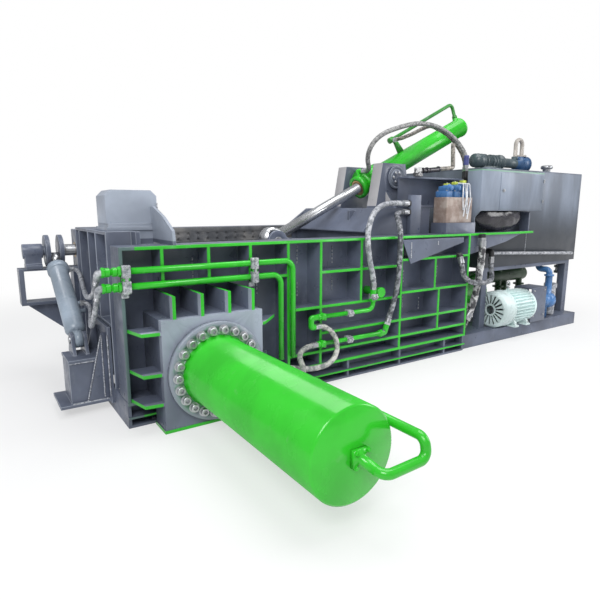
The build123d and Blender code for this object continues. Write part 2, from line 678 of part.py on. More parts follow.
lid_piston_start = -lid_tube_front + lid_gland_length + 8
lid_eye = along(-lid_eye_reach)
with BuildPart() as lid_rod:
    turned(along(lid_piston_start + 80), (-lid_axis[0], 0, -lid_axis[2]),
           [(0, 0), (0, lid_bore_r - piston_gap), (80, lid_bore_r - piston_gap), (80, lid_rod_r),
            (lid_piston_start + 80 + lid_eye_reach - 60, lid_rod_r),
            (lid_piston_start + 80 + lid_eye_reach - 60, 0)])
    disc((lid_eye[0], -60, lid_eye[2]), (0, 1, 0), lid_pin_r + lid_play + 45, 120)
    disc((lid_eye[0], -61, lid_eye[2]), (0, 1, 0), lid_pin_r + lid_play, 122, Mode.SUBTRACT)
lid_rod.part.label = "lid_rod"
export_step(lid_rod.part, "parts/lid_rod.step")

pipe_rise = 295
with BuildPart() as lid_feed_pipe:
    bent_tube([along(455, pipe_rise), along(1600, pipe_rise + 25), along(1600, lid_tube_r + 31)], 60, 21)
    disc(along(1600, lid_tube_r + 30.5), (-sin(lid_tilt), 0, cos(lid_tilt)), 30, 22)
    turned(along(455, pipe_rise), lid_axis, [(-34, 0), (-34, 34), (20, 34), (20, 0)])
    disc(along(438, pipe_rise), (0, -1, 0), 22, 62)
    with BuildSketch(Plane(origin=(0, 12, 0), x_dir=(1, 0, 0), z_dir=(0, -1, 0))) as strut:
        with BuildLine():
            corners = [along(500, lid_tube_r + 0.5), along(590, lid_tube_r + 0.5), along(525, pipe_rise - 20),
                       along(478, pipe_rise - 21)]
            Polyline(*[(p[0], p[2]) for p in corners], close=True)
        make_face()
    extrude(strut.sketch, amount=24)
lid_feed_pipe.part.label = "lid_feed_pipe"
export_step(lid_feed_pipe.part, "parts/lid_feed_pipe.step")

# Discharge door: it hangs on a shaft in the far wall and turns outwards
shaft_left = left - 109
shaft_right = left + 1045
door_inner = inner_half
with BuildPart() as discharge_door:
    block(door_left + door_side_gap, door_right - door_side_gap, door_inner, door_inner + 70,
          floor_top + 16, door_top)
    for x0 in (door_left + door_side_gap, side_x - 160, side_x + 120, door_right - door_side_gap - 35):
        plate_x(x0, x0 + 35, [(door_inner + 70, floor_top + 30), (far - 60, floor_top + 90),
                              (far - 60, 1080), (door_shaft_y + 60, 1150), (door_inner + 70, 1150)])
    for x0 in (door_left + 60, door_right - 130):
        plate_x(x0, x0 + 70, [(door_inner + 60, door_top - 210), (door_shaft_y + 60, door_top - 110),
                              (door_shaft_y + 80, door_shaft_z), (door_shaft_y - 80, door_shaft_z),
                              (door_inner + 60, door_top - 60)])
        disc((x0, door_shaft_y, door_shaft_z), (1, 0, 0), 80, 70)
    for height in (420, 720, 1000):
        block(door_left + door_side_gap, door_right - door_side_gap, door_inner + 70, far - 90,
              height, height + 30)
    disc((left, door_shaft_y, door_shaft_z), (1, 0, 0), door_shaft_r + 0.3, 1100, Mode.SUBTRACT)
discharge_door.part.label = "discharge_door"
export_step(discharge_door.part, "parts/discharge_door.step")

with BuildPart() as door_shaft:
    disc((shaft_left, door_shaft_y, door_shaft_z), (1, 0, 0), door_shaft_r, shaft_right - shaft_left)
door_shaft.part.label = "door_shaft"
export_step(door_shaft.part, "parts/door_shaft.step")

crank = radians(crank_angle)
crank_y = door_shaft_y + crank_r * cos(crank)
crank_z = door_shaft_z + crank_r * sin(crank)
tip_eye_reach = hypot(crank_y - tip_foot_y, crank_z - tip_foot_z) - 8.5
tip_tilt = atan2(crank_z - tip_foot_z, crank_y - tip_foot_y) - radians(0.568)
crank_right_x = tip_x + 38
crank_left_x = tip_x - 38
stub_r = 45
with BuildPart() as crank_discs:
    disc((crank_right_x, door_shaft_y, door_shaft_z), (1, 0, 0), crank_disc_r, crank_disc)
    disc((crank_right_x, crank_y, crank_z), (1, 0, 0), crank_pin_r + 0.2, crank_disc, Mode.SUBTRACT)
    disc((crank_left_x, door_shaft_y, door_shaft_z), (-1, 0, 0), crank_disc_r, crank_disc)
    disc((crank_left_x - crank_disc, door_shaft_y, door_shaft_z), (-1, 0, 0), stub_r,
         crank_left_x - crank_disc - outer_bearing_x - 8)
    disc((crank_left_x, crank_y, crank_z), (-1, 0, 0), crank_pin_r + 0.2, crank_disc, Mode.SUBTRACT)
crank_discs.part.label = "crank_discs"
export_step(crank_discs.part, "parts/crank_discs.step")

with BuildPart() as crank_pin:
    turned((crank_left_x - crank_disc - 12, crank_y, crank_z), (1, 0, 0),
           [(0, 0), (0, crank_pin_r + 12), (12, crank_pin_r + 12), (12, crank_pin_r),
            (12 + 2 * crank_disc + 76, crank_pin_r), (12 + 2 * crank_disc + 76, 0)])
crank_pin.part.label = "crank_pin"
export_step(crank_pin.part, "parts/crank_pin.step")

# Outboard bearing and the bracket that carries it
bearing_right = crank_left_x - crank_disc - 20
deck_z = door_shaft_z - crank_disc_r - 10
support_left = left - 500
with BuildPart() as shaft_support:
    turned((outer_bearing_x, door_shaft_y, door_shaft_z), (1, 0, 0),
           [(0, 0), (8, 0), (8, stub_r + gland_gap), (bearing_right - outer_bearing_x, stub_r + gland_gap),
            (bearing_right - outer_bearing_x, 68), (0, 68)])
    with BuildSketch(face_x(outer_bearing_x + 14)) as foot:
        with BuildLine():
            Polyline((door_shaft_y - 95, deck_z), (door_shaft_y + 95, deck_z), (door_shaft_y + 95, deck_z + 30),
                     (door_shaft_y + 62, deck_z + 45), (door_shaft_y + 62, door_shaft_z),
                     (door_shaft_y - 62, door_shaft_z), (door_shaft_y - 62, deck_z + 45),
                     (door_shaft_y - 95, deck_z + 30), close=True)
        make_face()
    extrude(foot.sketch, amount=bearing_right - outer_bearing_x - 28)
    disc((outer_bearing_x + 8, door_shaft_y, door_shaft_z), (1, 0, 0), stub_r + gland_gap, 300, Mode.SUBTRACT)
    plate_y(door_shaft_y - 80, door_shaft_y + 100,
            [(support_left, 722), (left - 180, 722), (left, 722), (left, deck_z), (support_left, deck_z)])
    block(support_left + 42, left - 40, door_shaft_y - 81, door_shaft_y + 101, 752, deck_z - 20, Mode.SUBTRACT)
    block(tip_x - 38, tip_x + 38, door_shaft_y - 81, door_shaft_y + 101, deck_z - 21, deck_z + 1, Mode.SUBTRACT)
    plate_y(door_shaft_y - 15, door_shaft_y + 15, [(support_left + 45, 722), (left, 330), (left, 722)])
shaft_support.part.label = "shaft_support"
export_step(shaft_support.part, "parts/shaft_support.step")

# Cylinder that turns the discharge door
tip_axis = (0, cos(tip_tilt), sin(tip_tilt))
tip_foot = (tip_x, tip_foot_y, tip_foot_z)


def tip_along(distance, rise=0, shift=0):
    """A point by its place along the door cylinder, above it and beside it."""
    return (tip_x + shift, tip_foot_y + distance * cos(tip_tilt) - rise * sin(tip_tilt),
            tip_foot_z + distance * sin(tip_tilt) + rise * cos(tip_tilt))


with BuildPart() as tip_barrel:
    turned(tip_foot, tip_axis, [(40, 0), (40, 28), (70, 28), (76, 62), (110, tip_tube_r), (880, tip_tube_r),
                                (884, tip_tube_r + 13), (946, tip_tube_r + 13), (950, tip_tube_r + 9),
                                (950, 0)])
    disc((tip_x - tip_eye / 2, tip_foot_y, tip_foot_z), (1, 0, 0), 70, tip_eye)
    disc(tip_along(150), tip_axis, tip_bore_r, 801, Mode.SUBTRACT)
    disc((tip_x - tip_eye / 2 - 1, tip_foot_y, tip_foot_z), (1, 0, 0), crank_pin_r + gland_gap,
         tip_eye + 2, Mode.SUBTRACT)
    disc(tip_along(910, 0, tip_tube_r + 10), (1, 0, 0), 20, 28)
    disc(tip_along(330, 0, tip_tube_r - 4), (1, 0, 0), 20, 42)
tip_barrel.part.label = "tip_barrel"
export_step(tip_barrel.part, "parts/tip_barrel.step")

with BuildPart() as tip_gland:
    turned(tip_along(950), (0, -tip_axis[1], -tip_axis[2]),
           ring_profile(0, 90, tip_rod_r + gland_gap, tip_bore_r - gland_gap))
tip_gland.part.label = "tip_gland"
export_step(tip_gland.part, "parts/tip_gland.step")

with BuildPart() as tip_rod:
    turned(tip_along(160), tip_axis,
           [(0, 0), (0, tip_bore_r - piston_gap), (60, tip_bore_r - piston_gap), (60, tip_rod_r),
            (tip_eye_reach - 160 - 50, tip_rod_r), (tip_eye_reach - 160 - 50, 0)])
    eye = tip_along(tip_eye_reach)
    disc((eye[0] - tip_eye / 2, eye[1], eye[2]), (1, 0, 0), tip_eye_r, tip_eye)
    disc((eye[0] - tip_eye / 2 - 1, eye[1], eye[2]), (1, 0, 0), crank_pin_r + door_play,
         tip_eye + 2, Mode.SUBTRACT)
tip_rod.part.label = "tip_rod"
export_step(tip_rod.part, "parts/tip_rod.step")

# Bracket box on the end wall for the foot of the door cylinder, with its pin and the lid hinge pin
bracket_left = left - 305
bracket_near = near + 500
bracket_far = near + 800
bracket_top = 450
lug = 28
with BuildPart() as tip_bracket:
    block(left - 25, left, bracket_near - 90, bracket_far + 60, 75, 700)
    block(bracket_left - 5, left - 25, bracket_near - 10, bracket_far + 10, bracket_top - 25, bracket_top)
    block(bracket_left, left - 25, bracket_near, bracket_near + 25, 100, bracket_top - 25)
    block(bracket_left, left - 25, bracket_far - 25, bracket_far, 100, bracket_top - 25)
    block(bracket_left, bracket_left + 25, bracket_near, bracket_far, 100, bracket_top - 25)
    block(bracket_left - 85, left - 25, bracket_near - 30, bracket_far + 60, 75, 100)
    for x0 in (tip_x - tip_eye / 2 - 4 - lug, tip_x + tip_eye / 2 + 4):
        plate_x(x0, x0 + lug, [(tip_foot_y - 110, bracket_top), (tip_foot_y + 110, bracket_top),
                               (tip_foot_y + 48, tip_foot_z + 20), (tip_foot_y - 48, tip_foot_z + 20)])
        disc((x0, tip_foot_y, tip_foot_z), (1, 0, 0), 60, lug)
    disc((tip_x - 100, tip_foot_y, tip_foot_z), (1, 0, 0), crank_pin_r + 0.2, 200, Mode.SUBTRACT)
tip_bracket.part.label = "tip_bracket"
export_step(tip_bracket.part, "parts/tip_bracket.step")

with BuildPart() as hinge_pins:
    reach = tip_eye / 2 + 4 + lug
    turned(tip_foot, (1, 0, 0), [(-reach - 10, 0), (-reach - 10, crank_pin_r), (reach, crank_pin_r),
                                 (reach, crank_pin_r + 10), (reach + 10, crank_pin_r + 10), (reach + 10, 0)])
    reach = inner_half - 12
    turned((hinge_x, 0, hinge_z), (0, 1, 0),
           [(-reach, 0), (-reach, hinge_pin_r - 4), (4 - reach, hinge_pin_r), (reach - 4, hinge_pin_r),
            (reach, hinge_pin_r - 4), (reach, 0)])
hinge_pins.part.label = "hinge_pins"
export_step(hinge_pins.part, "parts/hinge_pins.step")

# Hard pipes along the near wall with their clamps
pipe_y = near - 32
pipe_r = 23
pipe_bend = 80
ram_pipe_y = pipe_y - 6
clamp_depth = pipe_r + 16
with BuildPart() as wall_pipes:
    for station in (27, 1032):
        x0 = left + station - 22
        block(x0, x0 + 44, pipe_y - clamp_depth, near, 1030, 1220)
        for height in (1180, 1070):
            disc((x0 - 1, pipe_y, height), (1, 0, 0), pipe_r + 0.3, 46, Mode.SUBTRACT)
    for height in (655, 404):
        block(left + 1726, left + 1726 + rib, ram_pipe_y - 30, near, height - 30, height + 30)
    bent_tube([(left - 118, pipe_y, 1180), (left + 1416, pipe_y, 1180), (left + 1416, pipe_y, 330)],
              pipe_bend, pipe_r)
    bent_tube([(left - 118, pipe_y, 1070), (left + 1296, pipe_y, 1070), (left + 1296, pipe_y, 330)],
              pipe_bend, pipe_r)
    bent_tube([(left + 2329, ram_pipe_y, 790), (left + 2329, ram_pipe_y, 655), (left + 1670, ram_pipe_y, 655)],
              60, 21)
    disc((left + 1670, ram_pipe_y, 404), (1, 0, 0), 21, 770)
    for x, z in ((left + 2406, 404), (left + 1670, 655), (left + 1670, 404)):
        turned((x, ram_pipe_y, z), (1, 0, 0), [(0, 0), (0, 30), (34, 30), (34, 0)])
wall_pipes.part.label = "wall_pipes"
export_step(wall_pipes.part, "parts/wall_pipes.step")

# Deck to the right of the near wall, with the stand and cover for the valves
stand_near = near + 200
cover_low = hood_top + 5
stand_x = left + 3043
with BuildPart() as deck:
    block(right, deck_right, near, near + 188, near_wall_top - flange, near_wall_top)
    plate_y(near + 30, near + 55, [(right, near_wall_top - flange), (right, 1100), (right + 700, 1230),
                                   (deck_right - 200, near_wall_top - flange)])
    block(deck_right - 25, deck_right, near + 60, near + 185, near_wall_top, 1575)
    block(stand_x, stand_x + 150, stand_near, stand_near + 55, near_wall_top, 1755)
    block(stand_x, cabinet_left, stand_near + 55, stand_near + 210, cover_low, cover_low + 25)
    block(stand_x, cabinet_left, stand_near + 190, stand_near + 210, cover_low, 1949)
    block(stand_x, cabinet_left, stand_near + 55, stand_near + 190, 1929, 1949)
    block(left + 3420, left + 3905, near + 40, stand_near + 55, near_wall_top, 1462)
deck.part.label = "deck"
export_step(deck.part, "parts/deck.step")

with BuildPart() as valve_manifold:
    block(left + 3440, left + 3860, near + 60, stand_near + 50, 1462, 1735)
    chamfer(valve_manifold.edges().filter_by(Axis.Z), 8)
valve_manifold.part.label = "valve_manifold"
export_step(valve_manifold.part, "parts/valve_manifold.step")

with BuildPart() as valve_coils:
    for step in range(3):
        x = left + 3500 + 130 * step
        block(x - 50, x + 50, near + 80, near + 240, 1735, 1800)
        block(x - 38, x + 38, near + 100, near + 220, 1800, 1880 + 20 * step)
valve_coils.part.label = "valve_coils"
export_step(valve_coils.part, "parts/valve_coils.step")

# Control cabinet in front of the tank
with BuildPart() as control_cabinet:
    block(cabinet_left, cabinet_right, near, cabinet_back, 1590, 2045)
    block(cabinet_left + 12, cabinet_right - 12, near + 12, cabinet_back + 1, 1602, 2033, Mode.SUBTRACT)
    plate_x(cabinet_left, cabinet_left + 20, [(near, 1590), (near + 70, 1520), (near + 70, near_wall_top),
                                              (cabinet_back, near_wall_top), (cabinet_back, 1590)])
control_cabinet.part.label = "control_cabinet"
export_step(control_cabinet.part, "parts/control_cabinet.step")

# Oil tank on the power unit's base, with its cover
with BuildPart() as oil_tank:
    block(tank_left, tank_right, tank_near, tank_far, tank_bottom, tank_top - tank_cover_plate)
    fillet(oil_tank.edges().filter_by(Axis.Z), 25)
    block(tank_left + tank_wall, tank_right - tank_wall, tank_near + tank_wall, tank_far - tank_wall,
          tank_bottom + tank_wall, tank_top, Mode.SUBTRACT)
oil_tank.part.label = "oil_tank"
export_step(oil_tank.part, "parts/oil_tank.step")

with BuildPart() as tank_cover:
    block(tank_left, tank_right, tank_near, tank_far, tank_top - tank_cover_plate, tank_top)
    fillet(tank_cover.edges().filter_by(Axis.Z), 25)
tank_cover.part.label = "tank_cover"
export_step(tank_cover.part, "parts/tank_cover.step")

with BuildPart() as breather_cap:
    turned((left + 5720, near + 330, tank_top), (0, 0, 1),
           [(0, 0), (0, 48), (50, 48), (50, 66), (58, 74), (84, 74), (96, 60), (96, 0)])
breather_cap.part.label = "breather_cap"
export_step(breather_cap.part, "parts/breather_cap.step")

# Circulation pump with its pipe on the tank
pump_y = near + 560
pump_z = tank_top + 118
with BuildPart() as cooler_pump:
    block(left + 4480, left + 5700, pump_y - 90, pump_y + 90, tank_top, tank_top + 25)
    turned((left + 4500, pump_y, pump_z), (1, 0, 0),
           [(0, 0), (0, 84), (190, 84), (190, 76), (480, 76), (480, 95), (510, 95), (510, 60), (900, 60),
            (900, 98), (1050, 98), (1080, 80), (1080, 0)])
    block(left + 4620, left + 4960, pump_y - 60, pump_y + 60, tank_top + 25, pump_z)
    block(left + 5430, left + 5560, pump_y - 60, pump_y + 60, tank_top + 25, pump_z)
    bent_tube([(left + 5340, pump_y, tank_top + 200), (left + 5340, pump_y, tank_top + 430),
               (left + 5480, pump_y, tank_top + 430), (left + 5480, pump_y, pump_z + 90)], 65, 26)
    turned((left + 5480, pump_y, pump_z + 90), (0, 0, 1), [(0, 0), (0, 62), (28, 62), (28, 0)])
    turned((left + 5340, pump_y, pump_z + 50), (0, 0, 1), [(0, 0), (0, 45), (42, 45), (42, 0)])
cooler_pump.part.label = "cooler_pump"
export_step(cooler_pump.part, "parts/cooler_pump.step")

# Base frame of the power unit with the posts under the tank
with BuildPart() as power_base:
    for y0 in (base_near, base_far - 80):
        block(base_left, base_right, y0, y0 + 80, 0, base_height)
    for x0 in (base_left, left + 4700, left + 5500, base_right - 80):
        block(x0, x0 + 80, base_near, base_far, 0, base_height)
    block(base_left, base_right, base_near, motor_y + 320, base_height - 15, base_height)
    for x0 in (tank_left + 60, base_right - 110):
        for y0 in (tank_near + 10, tank_far - 110):
            block(x0, x0 + 100, y0, y0 + 100, base_height, tank_bottom)
    block(tank_left + 60, base_right - 10, tank_near + 10, tank_near + 60, tank_bottom - 50, tank_bottom)
    block(tank_left + 60, base_right - 10, tank_far - 60, tank_far - 10, tank_bottom - 50, tank_bottom)
power_base.part.label = "power_base"
export_step(power_base.part, "parts/power_base.step")

# Electric motor: finned frame, fan cowl, fan and shaft, then the pump behind a guard
motor_axis = (motor_left, motor_y, motor_z)
with BuildPart() as motor_frame:
    disc((motor_left + 200, motor_y, motor_z), (1, 0, 0), 175, 450)
    disc((motor_left + 205, motor_y, motor_z), (1, 0, 0), 218.7, 14)
    with BuildSketch(Plane(origin=(motor_left + 220, motor_y, motor_z), z_dir=(1, 0, 0))) as fins:
        with PolarLocations(190, 32):
            Rectangle(56, 7)
    extrude(fins.sketch, amount=410)
    for x0 in (motor_left + 260, motor_left + 500):
        block(x0, x0 + 80, motor_y - 190, motor_y + 190, base_height, base_height + 22)
        for side in (-1, 1):
            plate_x(x0 + 20, x0 + 60, [(motor_y + side * 185, base_height + 22), (motor_y + side * 90, base_height + 22),
                                       (motor_y + side * 90, motor_z - 130), (motor_y + side * 140, motor_z - 120)])
    disc((motor_left + 650, motor_y, motor_z), (1, 0, 0), 200, 25)
    block(motor_left + 330, motor_left + 500, motor_y + 150, motor_y + 300, motor_z - 30, motor_z + 90)
    disc((motor_left + 199, motor_y, motor_z), (1, 0, 0), 42.1, 480, Mode.SUBTRACT)
    disc((motor_left + 340, motor_y, motor_z + 200), (0, 0, 1), 16, 50)
    turned(motor_axis, (1, 0, 0), [(0, 55), (0, 200), (25, 225), (219, 225), (219, 219), (28, 219), (8, 196),
                                   (8, 55)])
    with BuildSketch(Plane(origin=(motor_left - 1, motor_y, motor_z), z_dir=(1, 0, 0))) as grille:
        with PolarLocations(130, 18):
            Rectangle(110, 22)
    extrude(grille.sketch, amount=10, mode=Mode.SUBTRACT)
motor_frame.part.label = "motor_frame"
export_step(motor_frame.part, "parts/motor_frame.step")

with BuildPart() as motor_rotor:
    turned(motor_axis, (1, 0, 0), [(60, 0), (60, 55), (120, 55), (120, 42), (760, 42), (760, 0)])
    with BuildSketch(Plane(origin=(motor_left + 70, motor_y, motor_z), z_dir=(1, 0, 0))) as blades:
        with PolarLocations(120, 8):
            Rectangle(150, 10)
    extrude(blades.sketch, amount=45)
motor_rotor.part.label = "motor_rotor"
export_step(motor_rotor.part, "parts/motor_rotor.step")

with BuildPart() as coupling_guard:
    x0 = motor_left + 675
    block(x0, x0 + 330, motor_y - 130, motor_y + 130, base_height, 610)
    block(x0 - 1, x0 + 331, motor_y - 115, motor_y + 115, base_height - 1, 595, Mode.SUBTRACT)
coupling_guard.part.label = "coupling_guard"
export_step(coupling_guard.part, "parts/coupling_guard.step")

with BuildPart() as main_pump:
    x0 = motor_left + 1020
    turned((x0, motor_y, motor_z), (1, 0, 0),
           [(0, 0), (0, 110), (25, 110), (25, 85), (180, 85), (200, 105), (280, 105), (300, 80), (300, 0)])
    block(x0 + 60, x0 + 150, motor_y - 60, motor_y + 60, base_height, motor_z)
    disc((x0 + 240, motor_y, motor_z), (0, 0, 1), 45, 330)
    x0 = motor_left + 1260
    disc((x0, motor_y, motor_z + 330), (0, 0, 1), 62, 20)
    bent_tube([(x0, motor_y, motor_z + 350), (x0, motor_y, 800), (x0, motor_y + 165, 800),
               (x0, motor_y + 165, tank_bottom)], 52, 40)
main_pump.part.label = "main_pump"
export_step(main_pump.part, "parts/main_pump.step")
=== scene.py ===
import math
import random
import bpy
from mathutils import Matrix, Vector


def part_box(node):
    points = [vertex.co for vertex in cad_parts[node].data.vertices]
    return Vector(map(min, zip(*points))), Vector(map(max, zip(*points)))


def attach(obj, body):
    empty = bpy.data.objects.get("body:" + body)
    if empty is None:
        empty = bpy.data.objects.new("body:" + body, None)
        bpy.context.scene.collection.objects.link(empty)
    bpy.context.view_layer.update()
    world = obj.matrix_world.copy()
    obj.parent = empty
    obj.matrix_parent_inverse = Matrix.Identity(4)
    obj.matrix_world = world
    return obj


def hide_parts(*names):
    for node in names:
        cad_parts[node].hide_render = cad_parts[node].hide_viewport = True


bl_info = {
    "name": "Hydraulic scrap baler",
    "version": (1, 0, 0),
    "blender": (4, 5, 0),
    "location": "View3D > Sidebar > Baler",
    "description": "Dresses the packed model of a hydraulic scrap baler",
    "category": "Object",
}

import bpy
from bpy.props import FloatProperty, FloatVectorProperty, PointerProperty
from mathutils import Matrix, Vector

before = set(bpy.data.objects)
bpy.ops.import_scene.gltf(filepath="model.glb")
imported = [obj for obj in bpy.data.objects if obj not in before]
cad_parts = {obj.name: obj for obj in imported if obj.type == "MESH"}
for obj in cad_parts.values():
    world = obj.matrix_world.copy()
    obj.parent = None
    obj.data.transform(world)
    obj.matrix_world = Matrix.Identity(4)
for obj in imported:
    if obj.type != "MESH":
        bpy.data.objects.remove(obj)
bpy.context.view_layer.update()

# Stations, in metres; the left end and the top of the wall are read from the frame
X, Y, Z = range(3)
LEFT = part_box("near_side_wall")[0].x
RIGHT = 1.895
NEAR = -0.912
NEAR_SKIN = NEAR + 0.210
WALL_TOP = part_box("near_side_wall")[1].z
SIDE_X = LEFT + 0.605
SIDE_Z = 0.418
MOUNT_FRONT = NEAR - 0.218
MOUNT_LEFT = LEFT + 0.202
MOUNT_RIGHT = LEFT + 1.008
MOUNT_RIBS = 0.838
MOUNT_FOOT = 0.0255
SHELF_OVERHANG = 0.009
EAR_FOOT = 1.640
NEAR_EARS_END = 1.30
SIDE_TUBE = 0.264
FLANGE = 0.052
SIDE_END = -2.740
MAIN_Z = 0.480
MAIN_SEAT = 1.655
PIPE_Y = NEAR - 0.032
RAM_Y = PIPE_Y - 0.006
RAM_X = 0.434
RAM_HIGH = 0.655
RAM_LOW = 0.404
WALL_PIPES = (1.180, 1.070)
STAND_PORTS = (1.578, 1.668)
SUCTION_Z = 0.262
PIVOT_X = RIGHT - 0.663
PIVOT_Z = 1.950
TANK_LEFT = RIGHT + 0.460
TANK_NEAR = NEAR + 0.190
TANK_TOP = 2.090
MOTOR_LEFT = RIGHT + 0.645
MOTOR_Y = NEAR + 0.147
MOTOR_Z = 0.385
CABINET_LEFT = RIGHT + 0.127
CABINET_RIGHT = RIGHT + 1.340
CABINET_LOW = 1.590
CABINET_HIGH = 2.045
ROUND_ANGLE = 60.0
FILM_FOLDS = 0.006
FOIL_FOLDS = 0.016
STITCH = 0.022
STITCH_PITCH = 0.036
WELD_SEED = 3


class BalerPaints(bpy.types.PropertyGroup):
    """Colours of the machine's paints."""

    slate: FloatVectorProperty(
        name="Slate paint", description="Dark paint of the welded frame", subtype="COLOR",
        default=(0.112, 0.130, 0.180), min=0.0, max=1.0)
    # Pale slate: on the block and the mount's face it is painted light, on the worn edges it is wear and a
    # painted highlight, and on the flange it is the flange's own grey.
    slate_pale: FloatVectorProperty(
        name="Pale slate, painted light in places", description="Paler slate: painted light on the block and the mount, wear and painted highlight on the edges",
        subtype="COLOR", default=(0.34, 0.38, 0.45), min=0.0, max=1.0)
    green: FloatVectorProperty(
        name="Green paint", description="Paint of cylinders, pipes and plate edges", subtype="COLOR",
        default=(0.028, 0.47, 0.020), min=0.0, max=1.0)
    pale: FloatVectorProperty(
        name="Pale paint", description="Paint of the door cylinder", subtype="COLOR",
        default=(0.30, 0.36, 0.43), min=0.0, max=1.0)
    tank: FloatVectorProperty(
        name="Tank paint", description="Paint of the tank and the cabinet", subtype="COLOR",
        default=(0.155, 0.180, 0.225), min=0.0, max=1.0)
    motor: FloatVectorProperty(
        name="Motor paint", description="Paint of the electric motor", subtype="COLOR",
        default=(0.62, 0.74, 0.73), min=0.0, max=1.0)
    pump: FloatVectorProperty(
        name="Pump paint", description="Blue paint of pumps and valves", subtype="COLOR",
        default=(0.060, 0.165, 0.37), min=0.0, max=1.0)


class BalerSizes(bpy.types.PropertyGroup):
    """Sizes of the small pieces that dress the machine."""

    edge: FloatProperty(
        name="Plate edge", description="Rounding of the plates' edges", unit="LENGTH",
        default=0.004, min=0.0005, max=0.01)
    weld: FloatProperty(
        name="Weld bead", description="Half width of a weld bead", unit="LENGTH",
        default=0.007, min=0.003, max=0.02)
    paint_line: FloatProperty(
        name="Painted edge", description="Depth of the green paint on the plates' front edges",
        unit="LENGTH", default=0.006, min=0.001, max=0.05)
    side_head: FloatProperty(
        name="Side bolt head", description="Radius of the side flange's bolt heads", unit="LENGTH",
        default=0.030, min=0.01, max=0.05)
    main_head: FloatProperty(
        name="Main bolt head", description="Radius of the main flange's bolt heads", unit="LENGTH",
        default=0.027, min=0.01, max=0.05)


def paints():
    return bpy.context.scene.baler_paints


def sizes():
    return bpy.context.scene.baler_sizes


# Materials


def dial(node, **values):
    """Sets a node's inputs by name, with _ for each blank."""
    for key, value in values.items():
        node.inputs[key.replace("_", " ")].default_value = value


class Finish:
    """A material being built: its node tree, its shader and the piece's own coordinates."""

    def __init__(self, name):
        self.material = bpy.data.materials.new(name)
        self.material.use_nodes = True
        self.tree = self.material.node_tree
        self.shader = self.tree.nodes["Principled BSDF"]
        self.place = self.tree.nodes.new("ShaderNodeTexCoord")

    def node(self, kind, **values):
        made = self.tree.nodes.new(kind)
        for key, value in values.items():
            setattr(made, key, value)
        return made

    def link(self, source, target):
        self.tree.links.new(source, target)

    def noise(self, scale, detail=3.0, roughness=0.55, stretch=(1, 1, 1)):
        spread = self.node("ShaderNodeMapping")
        dial(spread, Scale=stretch)
        self.link(self.place.outputs["Object"], spread.inputs["Vector"])
        made = self.node("ShaderNodeTexNoise")
        dial(made, Scale=scale, Detail=detail, Roughness=roughness)
        self.link(spread.outputs["Vector"], made.inputs["Vector"])
        return made.outputs["Fac"]

    def between(self, value, low, high, to_low=0.0, to_high=1.0):
        made = self.node("ShaderNodeMapRange", interpolation_type="SMOOTHSTEP")
        dial(made, From_Min=low, From_Max=high, To_Min=to_low, To_Max=to_high)
        self.link(value, made.inputs["Value"])
        return made.outputs["Result"]

    def cloud(self, grain, low, high, to_low=0.0, to_high=1.0):
        """Noise patches between two levels; grain holds what noise() takes."""
        return self.between(self.noise(*grain), low, high, to_low, to_high)

    def sum(self, operation, a, b):
        made = self.node("ShaderNodeMath", operation=operation)
        for socket, value in zip(made.inputs, (a, b)):
            if isinstance(value, (int, float)):
                socket.default_value = value
            else:
                self.link(value, socket)
        return made.outputs["Value"]

    def mix(self, share, a, b):
        """Colour a where share is 0 and colour b where it is 1."""
        made = self.node("ShaderNodeMix", data_type="RGBA")
        self.link(share, made.inputs["Factor"])
        for socket, value in ((made.inputs[6], a), (made.inputs[7], b)):
            if isinstance(value, tuple):
                socket.default_value = value
            else:
                self.link(value, socket)
        return made.outputs[2]

    def axes(self, source="Object"):
        made = self.node("ShaderNodeSeparateXYZ")
        self.link(self.place.outputs[source], made.inputs[0])
        return made.outputs

    def normal(self):
        return self.axes("Normal")

    def bump(self, height, strength, distance):
        made = self.node("ShaderNodeBump")
        dial(made, Strength=strength, Distance=distance)
        self.link(height, made.inputs["Height"])
        self.link(made.outputs["Normal"], self.shader.inputs["Normal"])

    def coat(self, colour, rough=None):
        self.link(colour, self.shader.inputs["Base Color"])
        if rough is not None:
            self.link(rough, self.shader.inputs["Roughness"])

    def set(self, **values):
        dial(self.shader, **values)


def shade(colour, factor):
    """A darker or lighter tone of a colour, with alpha."""
    return (*[min(1.0, channel * factor) for channel in colour[:3]], 1.0)


def enamel(name, colour, gloss=0.34, dust_and_sheen=0.30, zones=()):
    """Brushed or sprayed enamel on steel plate: uneven tone, pale upright streaks that are dust and painted
    sheen, and orange peel.
    """
    made = Finish(name)
    patch = made.cloud((1.7, 4.0), 0.38, 0.66)
    colour_out = made.mix(patch, shade(colour, 0.80), shade(colour, 1.22))
    for zone, zone_colour in zones:
        tone = made.mix(patch, shade(zone_colour, 0.84), shade(zone_colour, 1.12))
        colour_out = made.mix(zone(made), colour_out, tone)
    # Pale patches stretched upright: partly dust, partly a painted sheen on the plates.
    dust = made.cloud((7.0, 6.0, 0.65, (1, 1, 0.45)), 0.55, 0.80, 0.0, dust_and_sheen)
    colour_out = made.mix(dust, colour_out, (0.34, 0.36, 0.40, 1.0))
    made.coat(colour_out, made.cloud((9.0, 4.0), 0.3, 0.75, gloss - 0.07, gloss + 0.16))
    made.bump(made.noise(55.0, 3.0), 0.12, 0.002)
    return made.material


def front_edges(made):
    """Where the plates' front edges stand, close to the near plane of the frame."""
    ragged = made.cloud((40.0, 2.0), 0.2, 0.8, -0.003, 0.004)
    level = made.sum("ADD", made.axes()["Y"], ragged)
    depth = sizes().paint_line
    front = made.between(level, NEAR + depth, NEAR + depth + 0.002, 1.0, 0.0)
    left_post = made.sum("LESS_THAN", made.axes()["X"], LEFT + 0.110)
    return made.sum("MULTIPLY", front, made.sum("SUBTRACT", 1.0, made.sum("MULTIPLY", left_post, 0.9)))


